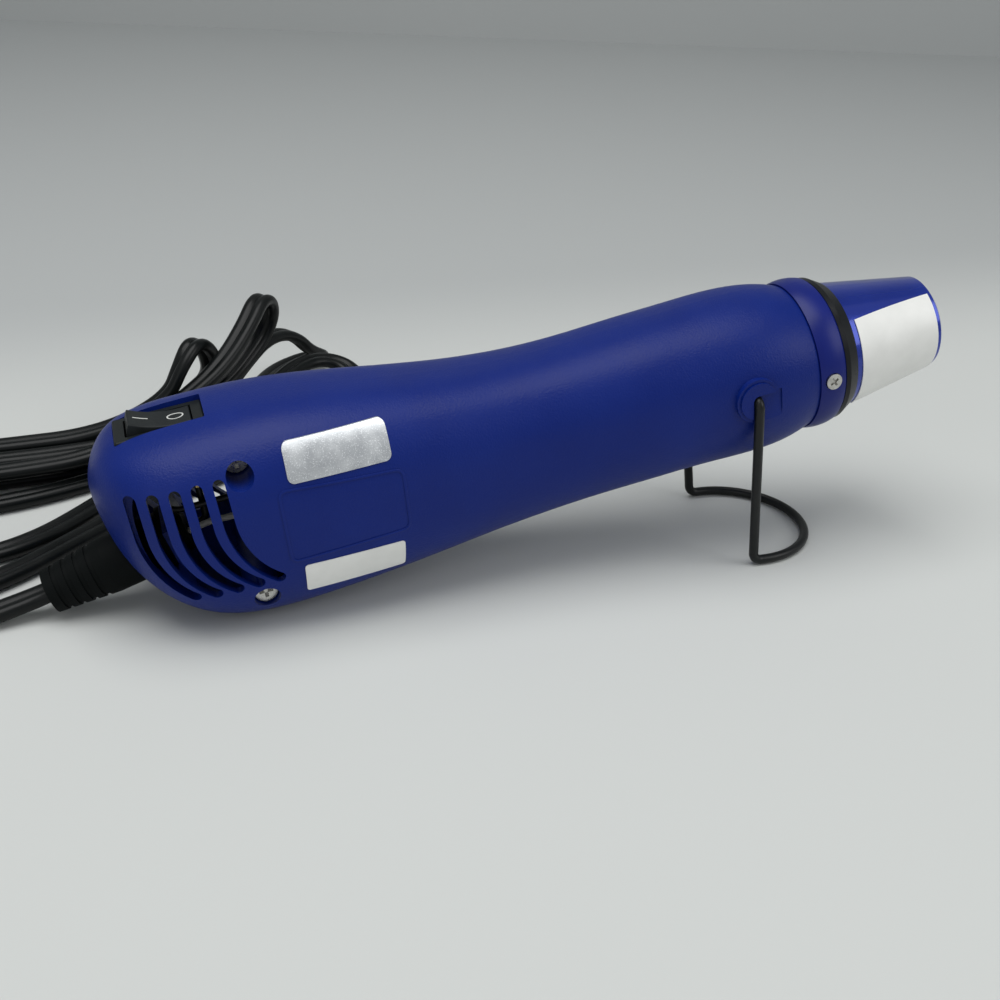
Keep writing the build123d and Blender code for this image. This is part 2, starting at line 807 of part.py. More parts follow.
# Motor: can, end cap, bushes, magnets, brushes and tabs
motor_rear = motor_front - motor_length
boss_front = motor_front + motor_boss_length
with BuildPart() as motor_can:
    with BuildSketch(Plane.XZ):
        with BuildLine():
            Polyline(
                (motor_rear, motor_radius - motor_wall),
                (motor_rear, motor_radius),
                (motor_front, motor_radius),
                (motor_front, motor_boss_radius),
                (boss_front, motor_boss_radius),
                (boss_front, bush_radius + running_gap),
                (motor_front - motor_wall, bush_radius + running_gap),
                (motor_front - motor_wall, motor_radius - motor_wall),
                close=True,
            )
        make_face()
    revolve(axis=Axis.X)
motor_can.part.label = "motor_can"

with BuildPart() as motor_endcap:
    with BuildSketch(Plane.YZ.offset(motor_rear)):
        Circle(motor_radius - motor_wall - running_gap)
        Circle(bush_radius + running_gap, mode=Mode.SUBTRACT)
        with Locations((-motor_tab_offset, 0), (motor_tab_offset, 0)):
            Rectangle(
                motor_tab_thickness + 2 * running_gap, motor_tab_width + 2 * running_gap, mode=Mode.SUBTRACT
            )
    extrude(amount=endcap_thickness)
motor_endcap.part.label = "motor_endcap"

with BuildPart() as motor_bushes:
    for start in (boss_front - bush_length, motor_rear):
        with BuildSketch(Plane.YZ.offset(start)):
            Circle(bush_radius)
            Circle(shaft_radius + running_gap, mode=Mode.SUBTRACT)
        extrude(amount=bush_length)
motor_bushes.part.label = "motor_bushes"

magnet_middle = motor_front - motor_wall - running_gap - magnet_length / 2
magnet_outer_radius = motor_radius - motor_wall - running_gap
with BuildPart() as motor_magnets:
    with BuildSketch(Plane.YZ.offset(magnet_middle - magnet_length / 2)):
        Circle(magnet_outer_radius)
        Circle(magnet_inner_radius, mode=Mode.SUBTRACT)
        magnet_gap = motor_radius * tan(radians((180 - magnet_angle) / 2))
        for reach in (-motor_radius, motor_radius):
            with BuildLine():
                Polyline((0, 0), (reach, magnet_gap), (reach, -magnet_gap), close=True)
            make_face(mode=Mode.SUBTRACT)
    extrude(amount=magnet_length)
motor_magnets.part.label = "motor_magnets"

with BuildPart() as motor_brushes:
    with BuildSketch(Plane.YZ.offset(motor_rear + endcap_thickness)):
        brush_place = commutator_radius + moving_gap
        with Locations((-brush_place, 0), (brush_place + brush_length, 0)):
            Rectangle(brush_length, brush_width, align=(Align.MAX, Align.CENTER))
    extrude(amount=commutator_length * brush_share)
motor_brushes.part.label = "motor_brushes"

tab_start = motor_rear - motor_tab_length
with BuildPart() as motor_tabs:
    with BuildSketch(Plane.YZ.offset(tab_start)):
        with Locations((-motor_tab_offset, 0), (motor_tab_offset, 0)):
            Rectangle(motor_tab_thickness, motor_tab_width)
    extrude(amount=motor_tab_length + endcap_thickness)
motor_tabs.part.label = "motor_tabs"

# What turns: shaft, armature, its windings, commutator and fan
shaft_start = motor_rear - shaft_tail
shaft_end = motor_front + shaft_nose
with BuildPart() as motor_shaft:
    with BuildSketch(Plane.YZ.offset(shaft_start)):
        Circle(shaft_radius)
    extrude(amount=shaft_end - shaft_start)
    chamfer(motor_shaft.edges(), shaft_radius / 5)
motor_shaft.part.label = "motor_shaft"

armature_start = magnet_middle - armature_length / 2
with BuildPart() as armature:
    with BuildSketch(Plane.YZ.offset(armature_start)):
        Circle(armature_radius)
        Circle(armature_radius - armature_tip, mode=Mode.SUBTRACT)
        with PolarLocations(0, pole_count):
            slot_reach = armature_radius + overrun
            slot_half = slot_reach * tan(radians((360 / pole_count - armature_tip_angle) / 2))
            with BuildLine():
                Polyline((0, 0), (-slot_reach, slot_half), (-slot_reach, -slot_half), close=True)
            make_face(mode=Mode.SUBTRACT)
        with PolarLocations(0, pole_count):
            Rectangle(armature_radius - armature_tip / 2, armature_tooth, align=(Align.MIN, Align.CENTER))
        Circle(armature_core_radius)
        Circle(shaft_radius, mode=Mode.SUBTRACT)
    extrude(amount=armature_length)
armature.part.label = "armature"

winding_outer = armature_radius - armature_tip - fit_gap
with BuildPart() as armature_windings:
    with BuildSketch(Plane.YZ.offset(armature_start - winding_reach)):
        for pole in range(pole_count):
            turn = radians(360 / pole_count * pole)
            middle = (armature_core_radius + fit_gap + winding_outer) / 2
            spread = armature_tooth + 2 * fit_gap + 2 * winding_thickness
            with Locations((middle * cos(turn), middle * sin(turn))):
                Rectangle(winding_outer - armature_core_radius - fit_gap, spread, rotation=degrees(turn))
        Circle(winding_outer, mode=Mode.INTERSECT)
    extrude(amount=armature_length + 2 * winding_reach)
    with BuildSketch(Plane.YZ.offset(armature_start - fit_gap)):
        with PolarLocations(0, pole_count):
            Rectangle(armature_radius, armature_tooth + 2 * fit_gap, align=(Align.MIN, Align.CENTER))
        Circle(armature_core_radius + fit_gap)
    extrude(amount=armature_length + 2 * fit_gap, mode=Mode.SUBTRACT)
armature_windings.part.label = "armature_windings"

commutator_start = motor_rear + bush_length + moving_gap
with BuildPart() as commutator:
    with BuildSketch(Plane.YZ.offset(commutator_start)):
        Circle(commutator_radius)
        Circle(shaft_radius, mode=Mode.SUBTRACT)
    extrude(amount=commutator_length)
commutator.part.label = "commutator"

with BuildPart() as fan_impeller:
    with BuildSketch(Plane.YZ.offset(fan_start)):
        Circle(fan_hub_radius)
    extrude(amount=fan_length)
    fillet(fan_impeller.faces().sort_by(Axis.X)[-1].edges(), fan_hub_radius / 3)
    blade_root = fan_hub_radius / 2
    for blade in range(fan_blades):
        turn = 360 / fan_blades * blade
        outward = (0, cos(radians(turn)), sin(radians(turn)))
        sideways = Vector(0, -sin(radians(turn)), cos(radians(turn)))
        chord = Vector(cos(radians(blade_angle)), 0, 0) + sideways * sin(radians(blade_angle))
        root = Vector(fan_start + fan_length / 2, 0, 0) + Vector(*outward) * blade_root
        with BuildSketch(Plane(origin=root, x_dir=chord, z_dir=outward)):
            Rectangle(blade_chord, blade_thickness)
        extrude(amount=fan_radius + overrun - blade_root)
    with BuildSketch(Plane.YZ.offset(fan_start)):
        Circle(fan_radius)
    extrude(amount=fan_length, mode=Mode.INTERSECT)
    with BuildSketch(Plane.YZ.offset(fan_start)):
        Circle(shaft_radius)
    extrude(amount=fan_length, mode=Mode.SUBTRACT)
fan_impeller.part.label = "fan_impeller"

# Rectifier board with its diodes, carried by the motor's tabs
board_start = motor_rear - board_setback - board_thickness
with BuildPart() as rectifier_board:
    with BuildSketch(Plane.YZ.offset(board_start)):
        RectangleRounded(board_width, board_height, board_thickness)
        with Locations((-motor_tab_offset, 0), (motor_tab_offset, 0)):
            Rectangle(
                motor_tab_thickness + 2 * running_gap, motor_tab_width + 2 * running_gap, mode=Mode.SUBTRACT
            )
    extrude(amount=board_thickness)
rectifier_board.part.label = "rectifier_board"

with BuildPart() as diodes:
    with BuildSketch(Plane.XZ.offset(-diode_length / 2)):
        with Locations((board_start - diode_radius, 0)):
            with GridLocations(0, diode_pitch, 1, diode_count):
                Circle(diode_radius)
    extrude(amount=diode_length)
diodes.part.label = "diodes"

# Rocker switch: body with its bezel, terminals and the rocker
body_floor = bezel_floor - switch_depth
pivot_rise = bezel_top - rocker_pivot_drop
rocker_slot = rocker_width + 2 * moving_gap
with BuildPart() as switch_body:
    with BuildSketch(Plane.XY.offset(bezel_floor)):
        with Locations((switch_station, 0)):
            RectangleRounded(bezel_length, bezel_width, bezel_corner)
    extrude(amount=bezel_thickness)
    fillet(switch_body.faces().sort_by(Axis.Z)[-1].edges(), bezel_corner * bezel_round_share)
    with BuildSketch(Plane.XY.offset(bezel_floor)):
        with Locations((switch_station, 0)):
            Rectangle(switch_length, switch_width)
    extrude(amount=-switch_depth)
    with BuildSketch(Plane.XY.offset(body_floor + switch_wall)):
        with Locations((switch_station, 0)):
            Rectangle(rocker_opening, rocker_slot)
    extrude(amount=switch_depth + bezel_thickness, mode=Mode.SUBTRACT)
    with BuildSketch(Plane.XY.offset(body_floor)):
        with Locations((switch_station, 0)):
            with GridLocations(terminal_spacing, 0, 2, 1):
                Rectangle(terminal_thickness + 2 * running_gap, terminal_width + 2 * running_gap)
    extrude(amount=switch_wall, mode=Mode.SUBTRACT)
    with BuildSketch(Plane.XZ):
        with Locations((switch_station, pivot_rise)):
            Circle(trunnion_radius + running_gap)
    extrude(amount=rocker_width / 2 + trunnion_length + running_gap, both=True, mode=Mode.SUBTRACT)
switch_body.part.label = "switch_body"

with BuildPart() as switch_terminals:
    with BuildSketch(Plane.XY.offset(body_floor - terminal_length)):
        with Locations((switch_station, 0)):
            with GridLocations(terminal_spacing, 0, 2, 1):
                Rectangle(terminal_thickness, terminal_width)
    extrude(amount=terminal_length + 2 * switch_wall)
switch_terminals.part.label = "switch_terminals"

rocker_corner = radians(rocker_corner_angle)
rocker_tip = (rocker_reach * cos(rocker_corner), rocker_reach * sin(rocker_corner))
rocker_foot = sqrt(rocker_reach**2 - rocker_depth**2)
with BuildPart() as rocker:
    with BuildSketch(Plane.XZ):
        with BuildLine():
            ThreePointArc((-rocker_tip[0], rocker_tip[1]), (0, rocker_waist), rocker_tip)
            ThreePointArc(rocker_tip, (rocker_reach, 0), (rocker_foot, -rocker_depth))
            Line((rocker_foot, -rocker_depth), (-rocker_foot, -rocker_depth))
            ThreePointArc((-rocker_foot, -rocker_depth), (-rocker_reach, 0), (-rocker_tip[0], rocker_tip[1]))
        make_face()
    extrude(amount=rocker_width / 2, both=True)
    rounded = [edge for edge in rocker.edges() if edge.center().Z > rocker_waist - rocker_edge]
    fillet(rounded, rocker_edge)
    with BuildSketch(Plane.XZ):
        Circle(trunnion_radius)
    extrude(amount=rocker_width / 2 + trunnion_length, both=True)
rocker_place = Location((switch_station, 0, pivot_rise), (0, rocker_throw / 2, 0))
rocker.part = rocker_place * rocker.part
rocker.part.label = "rocker"

# Screws of the housing and of the collar
with BuildPart() as housing_screws:
    for station, height, seat in zip(screw_stations, screw_heights, screw_seats):
        with BuildSketch(Plane.XZ.offset(seat)):
            with Locations((station, height)):
                Circle(screw_head_radius)
        extrude(amount=screw_head_height)
        with BuildSketch(Plane.XZ.offset(seat)):
            with Locations((station, height)):
                Circle(screw_radius)
        extrude(amount=-screw_length)
    for station, height, seat in zip(screw_stations, screw_heights, screw_seats):
        with BuildSketch(Plane.XZ.offset(seat + screw_head_height)):
            with Locations((station, height)):
                Rectangle(cross_length, cross_width)
                Rectangle(cross_width, cross_length)
        extrude(amount=-cross_depth, mode=Mode.SUBTRACT)
housing_screws.part.label = "housing_screws"

with BuildPart() as collar_screws:
    for side in (-1, 1):
        outside = Plane.XZ.offset(-side * (collar_seat + collar_screw_head_height))
        with BuildSketch(outside):
            with Locations((collar_screw_station, 0)):
                Circle(collar_screw_head_radius)
        extrude(amount=side * collar_screw_head_height)
        with BuildSketch(outside):
            with Locations((collar_screw_station, 0)):
                Circle(collar_screw_radius)
        extrude(amount=side * (collar_screw_head_height + collar_screw_length))
        with BuildSketch(outside):
            with Locations((collar_screw_station, 0)):
                arm_length = cross_length * small_cross_share
                arm_width = cross_width * small_cross_share
                for turn in (small_cross_turn, small_cross_turn + 90):
                    Rectangle(arm_length, arm_width, rotation=turn)
        extrude(amount=side * cross_depth * small_cross_share, mode=Mode.SUBTRACT)
collar_screws.part.label = "collar_screws"

# Strain relief, moulded on the cord and trapped by its flange
with BuildPart() as strain_relief:
    with BuildSketch(relief_plane.offset(-relief_depth)):
        Circle(relief_root_radius)
    extrude(amount=relief_depth + relief_collar)
    with BuildSketch(relief_plane.offset(relief_collar)):
        Circle(relief_root_radius)
    with BuildSketch(relief_plane.offset(relief_length)):
        Circle(relief_tip_radius)
    loft()
    with BuildSketch(relief_plane.offset(-relief_depth - relief_flange)):
        Circle(relief_flange_radius)
    extrude(amount=relief_flange)
    with BuildSketch(relief_plane.offset(-relief_depth - relief_flange - relief_saddle - relief_tail)):
        Circle(relief_neck_radius)
    extrude(amount=relief_flange + relief_saddle + relief_tail)
    pitch = (relief_length - relief_collar) / (relief_ribs + 1)
    for groove in range(relief_ribs):
        along = relief_collar + pitch * (groove + 1)
        share = (along - relief_collar) / (relief_length - relief_collar)
        local = relief_root_radius + (relief_tip_radius - relief_root_radius) * share
        with BuildSketch(relief_plane.offset(along - relief_groove_width / 2)):
            Circle(relief_root_radius + overrun)
            Circle(local - relief_rib_groove, mode=Mode.SUBTRACT)
        extrude(amount=relief_groove_width, mode=Mode.SUBTRACT)
strain_relief.part.label = "strain_relief"

# Inner leads
relief_inside = relief_depth + relief_flange + relief_saddle + relief_tail
relief_inner = relief_plane.origin - relief_plane.z_dir * relief_inside
inward = -relief_plane.z_dir
terminal_bottom = body_floor - terminal_length
front_terminal = switch_station + terminal_spacing / 2
rear_terminal = switch_station - terminal_spacing / 2
lead_side = lead_spacing / 2
pass_side = lead_pass_spacing / 2


def from_relief(station, side):
    """A point straight ahead of the strain relief's inner end, at a station along the tool."""
    point = relief_inner + inward * ((station - relief_inner.X) / inward.X)
    return (point.X, side, point.Z)


board_bottom = -board_height / 2
board_middle = board_start + board_thickness / 2
lead_live = lead(
    [
        from_relief(relief_inner.X, lead_side), from_relief(front_terminal, lead_side),
        (front_terminal, lead_side, terminal_bottom),
    ],
    lead_bend / 2,
)
lead_live.part.label = "lead_live"

lead_neutral = lead(
    [
        from_relief(relief_inner.X, -lead_side), from_relief(neutral_turn, -lead_side),
        (switched_turn, board_inlet_side, board_inlet_height),
        (board_start, board_inlet_side, board_inlet_height),
    ],
    lead_bend,
)
lead_neutral.part.label = "lead_neutral"

lead_switched = lead(
    [
        (rear_terminal, -lead_side, terminal_bottom), (rear_terminal, -lead_side, switched_height),
        (switched_turn, -lead_side, switched_height), (lead_dip, pass_side, lead_pass_height),
        (lead_entry, pass_side, lead_pass_height), (lead_entry, pass_side, -fuse_radius - running_gap),
    ],
    lead_bend,
)
lead_switched.part.label = "lead_switched"

lead_heater = lead(
    [
        (board_middle, -pass_side, board_bottom), (board_middle, -pass_side, lead_pass_height),
        (lead_entry, -pass_side, lead_pass_height), (lead_entry, -pass_side, -cutoff_width / 2),
    ],
    lead_bend,
)
lead_heater.part.label = "lead_heater"

# Adhesive labels: thin skins on the right shell and round the shield
with BuildPart() as grown_form:
    loft(body_rings(-label_thickness))

flank_labels = []
notice_corner = badge_corner / 2
for name, station, height, length, width, corner, turn in (
    ("badge_label", badge_station, badge_height, badge_length, badge_width, badge_corner, badge_turn),
    ("notice_label", notice_station, notice_height, notice_length, notice_width, notice_corner, notice_turn),
):
    with BuildPart() as flank_label:
        with BuildSketch(Plane.XZ):
            with Locations((station, height)):
                RectangleRounded(length, width, corner, rotation=turn)
        extrude(amount=half_breadth + overrun)
        add(grown_form.part, mode=Mode.INTERSECT)
        add(outer_form.part, mode=Mode.SUBTRACT)
    flank_label.part.label = name
    flank_labels.append(flank_label)

wrap_end = shield_end - wrap_start
with BuildPart() as nozzle_label:
    with BuildSketch(Plane.XZ):
        with BuildLine():
            Polyline(
                (wrap_end - wrap_length, shield_radius(wrap_end - wrap_length)),
                (wrap_end - wrap_length, shield_radius(wrap_end - wrap_length) + label_thickness),
                (wrap_end, shield_radius(wrap_end) + label_thickness),
                (wrap_end, shield_radius(wrap_end)),
                close=True,
            )
        make_face()
    revolve(axis=Axis.X)
    with BuildPart(mode=Mode.INTERSECT):
        wrap_ends = ((wrap_end - wrap_length, wrap_angle - wrap_slant), (wrap_end, wrap_angle + wrap_slant))
        for place, spread in wrap_ends:
            corners = [(0, 0)]
            for share in (-0.5, 0, 0.5):
                turn = radians(wrap_middle + share * spread)
                corners.append((-2 * shield_base_radius * cos(turn), 2 * shield_base_radius * sin(turn)))
            with BuildSketch(Plane.YZ.offset(place)):
                with BuildLine():
                    Polyline(*corners, close=True)
                make_face()
        loft(ruled=True)
nozzle_label.part.label = "nozzle_label"

# Resting pose: tilted back about Y, lifted until the lowest point of the shells is on the table,
# and moved until the tool without its cord is centred over the origin
tilt = Location((0, 0, 0), (0, -rest_angle, 0))
lift = -min((tilt * shell.part).bounding_box().min.Z for shell in (housing_right, housing_left))
rear_end = (tilt * strain_relief.part).bounding_box().min.X
front_end = (tilt * nozzle_shield.part).bounding_box().max.X
shift = -(rear_end + front_end) / 2
rest_place = Location((shift, 0, lift)) * tilt
print("lift", round(lift, 3), "shift", round(shift, 3))

# Wire stand, in its resting pose: its foot lies on the table
pivot = (rest_place * Location((pivot_station, 0, pivot_height))).position
foot_station = pivot.X + (pivot.Z - wire_radius) * tan(radians(leg_lean))
arc_station = foot_station + foot_run
print("stand pivot", pivot)
with BuildPart() as stand_wire:
    with BuildLine() as stand_path:
        for side in (-1, 1):
            FilletPolyline(
                (pivot.X, side * (leg_plane - wire_insert), pivot.Z),
                (pivot.X, side * leg_plane, pivot.Z),
                (foot_station, side * foot_half_width, wire_radius),
                (arc_station, side * foot_half_width, wire_radius),
                radius=[leg_plane - boss_floor, wire_bend],
            )
        ThreePointArc(
            (arc_station, -foot_half_width, wire_radius),
            (arc_station + foot_half_width, 0, wire_radius),
            (arc_station, foot_half_width, wire_radius),
        )
    with BuildSketch(Plane.XZ.offset(leg_plane - wire_insert)):
        with Locations((pivot.X, pivot.Z)):
            Circle(wire_radius)
    sweep(path=stand_path.wires()[0])
stand_wire.part.label = "stand_wire"

# Cord, its tie and its plug, in the resting pose
cord_exit = (rest_place * Location(relief_plane.origin + relief_plane.z_dir * relief_length)).position
cord_slope = radians(rest_angle + relief_angle)
cord_heading = Vector(-cos(cord_slope), 0, -sin(cord_slope))
knots = [cord_exit, cord_exit + cord_heading * 2 * cord_radius]
knots += [Vector(forward + shift, across, up) for forward, across, up in cord_route]
headings = [cord_heading, cord_heading]
for before, here, after in zip(knots[1:], knots[2:], knots[3:]):
    arriving = here - before
    leaving = after - here
    heading = arriving.normalized() * leaving.length + leaving.normalized() * arriving.length
    if here.Z < cord_flat_limit:
        heading = Vector(heading.X, heading.Y, 0)
    headings.append(heading.normalized())
headings[-1] = Vector(1, 0, 0)
headings.append(Vector(1, 0, 0))


def cord_stretch(first, last):
    """The cord between two of its route points."""
    with BuildPart() as stretch:
        with BuildLine() as path:
            for knot in range(first, last):
                two_arcs(knots[knot], headings[knot], knots[knot + 1], headings[knot + 1])
        with BuildSketch(Plane(origin=knots[first], z_dir=headings[first])):
            Circle(cord_radius)
        sweep(path=path.line)
    route = path.wires()[0]
    share = stretch.part.volume / (route.length * pi * cord_radius**2)
    print("cord", first, last, "length", round(route.length, 1), "volume ratio", round(share, 4))
    return stretch, route


cord_run, run_line = cord_stretch(0, hank_first)
cord_run.part.label = "cord_run"
cord_hank, hank_line = cord_stretch(hank_first, hank_last)
cord_hank.part.label = "cord_hank"
cord_tail, tail_line = cord_stretch(hank_last, len(knots) - 1)
cord_tail.part.label = "cord_tail"
print("cord length", round(run_line.length + hank_line.length + tail_line.length, 1))

# Least gap of the cord with itself, between points that are well apart along it
samples = []
for line in (run_line, hank_line, tail_line):
    count = ceil(line.length)
    samples += [line @ (step / count) for step in range(count)]
skip = ceil(gap_skip)
least = min(
    (samples[far] - samples[near]).length
    for near in range(len(samples))
    for far in range(near + skip, len(samples))
    if abs(samples[far].X - samples[near].X) < 4 * cord_radius
)
print("least gap between strands", round(least - 2 * cord_radius, 2))

with BuildPart() as cord_tie:
    with BuildSketch(Plane.YZ.offset(tie_station + shift)):
        with Locations((tie_middle, tie_height / 2 + fit_gap)):
            RectangleRounded(tie_breadth, tie_height, tie_corner)
            RectangleRounded(
                tie_breadth - 2 * tie_thickness, tie_height - 2 * tie_thickness, tie_corner - tie_thickness,
                mode=Mode.SUBTRACT,
            )
    extrude(amount=tie_width / 2, both=True)
    with BuildSketch(Plane.XY.offset(tie_height)):
        with Locations((tie_station + shift, tie_middle)):
            Rectangle(tie_width * tie_knot_share, tie_knot_length)
    extrude(amount=tie_knot_height)
    fillet(cord_tie.faces().sort_by(Axis.Z)[-1].edges(), tie_knot_height / 3)
cord_tie.part.label = "cord_tie"

plug_start = knots[-1]
with BuildPart() as plug_body:
    with BuildSketch(Plane.YZ.offset(plug_start.X)):
        with Locations((plug_start.Y, plug_start.Z)):
            RectangleRounded(plug_neck_breadth, plug_neck_height, plug_corner / 2)
    with BuildSketch(Plane.YZ.offset(plug_start.X + plug_neck_length)):
        with Locations((plug_start.Y, plug_start.Z)):
            RectangleRounded(plug_breadth, plug_height, plug_corner)
    loft()
    with BuildSketch(Plane.YZ.offset(plug_start.X + plug_neck_length)):
        with Locations((plug_start.Y, plug_start.Z)):
            RectangleRounded(plug_breadth, plug_height, plug_corner)
    extrude(amount=plug_length - plug_neck_length)
plug_body.part.label = "plug_body"

with BuildPart() as plug_blades:
    with BuildSketch(Plane.YZ.offset(plug_start.X + plug_length)):
        with Locations((plug_start.Y, plug_start.Z)):
            with GridLocations(blade_spacing, 0, 2, 1):
                Rectangle(blade_gauge, blade_width)
    extrude(amount=blade_length)
    chamfer(plug_blades.faces().sort_by(Axis.X)[-2:].edges().filter_by(Axis.Z), blade_gauge / 3)
plug_blades.part.label = "plug_blades"

# The tool's own pieces go to their resting place; the stand, the cord and the plug are there
tool_pieces = [
    housing_right, housing_left, housing_screws, collar, collar_screws, heat_ring, nozzle_shield,
    hot_air_tube, mica_sleeve, upright_card, level_card, heater_coil, thermal_cutoff, thermal_fuse,
    air_guide, motor_can, motor_endcap, motor_bushes, motor_magnets, motor_brushes, motor_tabs,
    motor_shaft, armature, armature_windings, commutator, fan_impeller, rectifier_board, diodes,
    switch_body, switch_terminals, rocker, strain_relief, lead_live, lead_neutral, lead_switched,
    lead_heater, nozzle_label, *flank_labels,
]
table_pieces = [stand_wire, cord_run, cord_hank, cord_tail, cord_tie, plug_body, plug_blades]
for piece in tool_pieces:
    label = piece.part.label
    piece.part = rest_place * piece.part
    piece.part.label = label
for piece in tool_pieces + table_pieces:
    print(piece.part.label, round(piece.part.volume, 1), len(piece.part.solids()), piece.part.is_valid)
    export_step(piece.part, f"parts/{piece.part.label}.step")
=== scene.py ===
import bpy
import bmesh
import math
from mathutils import Matrix, Vector


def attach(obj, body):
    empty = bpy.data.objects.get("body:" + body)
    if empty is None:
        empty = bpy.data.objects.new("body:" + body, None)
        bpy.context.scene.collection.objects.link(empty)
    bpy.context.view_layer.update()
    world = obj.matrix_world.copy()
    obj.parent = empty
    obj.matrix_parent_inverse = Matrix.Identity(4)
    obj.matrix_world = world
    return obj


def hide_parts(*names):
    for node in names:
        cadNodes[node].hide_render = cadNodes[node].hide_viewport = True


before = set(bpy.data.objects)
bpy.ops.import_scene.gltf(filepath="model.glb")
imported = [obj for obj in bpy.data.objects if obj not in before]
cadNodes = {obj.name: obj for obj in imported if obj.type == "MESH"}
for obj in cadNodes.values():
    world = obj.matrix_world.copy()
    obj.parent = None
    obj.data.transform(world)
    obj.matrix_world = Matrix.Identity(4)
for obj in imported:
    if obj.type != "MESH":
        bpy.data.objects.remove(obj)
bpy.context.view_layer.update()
print("frame loaded:", len(cadNodes), "nodes")

# The tool's own axis runs along X before it is tilted back onto the table. Lengths in metres.
pose = {"tilt": 10.2, "shift": -0.100717, "lift": 0.018871}
toolPlace = Matrix.Translation((pose["shift"], 0, pose["lift"])) @ Matrix.Rotation(
    math.radians(-pose["tilt"]), 4, "Y"
)


def selectOnly(piece):
    bpy.ops.object.select_all(action="DESELECT")
    piece.select_set(True)
    bpy.context.view_layer.objects.active = piece


def applyModifier(piece, kind, **settings):
    selectOnly(piece)
    modifier = piece.modifiers.new(kind.title(), kind)
    for key, value in settings.items():
        setattr(modifier, key, value)
    bpy.ops.object.modifier_apply(modifier=modifier.name)


def meshPiece(name, corners, faces):
    mesh = bpy.data.meshes.new(name)
    mesh.from_pydata(corners, [], faces)
    piece = bpy.data.objects.new(name, mesh)
    bpy.context.scene.collection.objects.link(piece)
    return piece


def facesOutward(piece):
    selectOnly(piece)
    bpy.ops.object.mode_set(mode="EDIT")
    bpy.ops.mesh.select_all(action="SELECT")
    bpy.ops.mesh.remove_doubles(threshold=mergeWithin)
    bpy.ops.mesh.normals_make_consistent(inside=False)
    bpy.ops.object.mode_set(mode="OBJECT")


def smoothShade(piece, angle):
    selectOnly(piece)
    bpy.ops.object.shade_smooth_by_angle(angle=math.radians(angle))


def hand(piece, body, material, slotName, *replaced):
    piece.data.materials.clear()
    piece.data.materials.append(material)
    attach(piece, body)
    if replaced:
        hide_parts(*replaced)


noiseSpan = (0.3, 0.7)  # where most of a noise texture's values lie
mergeWithin = 0.00001


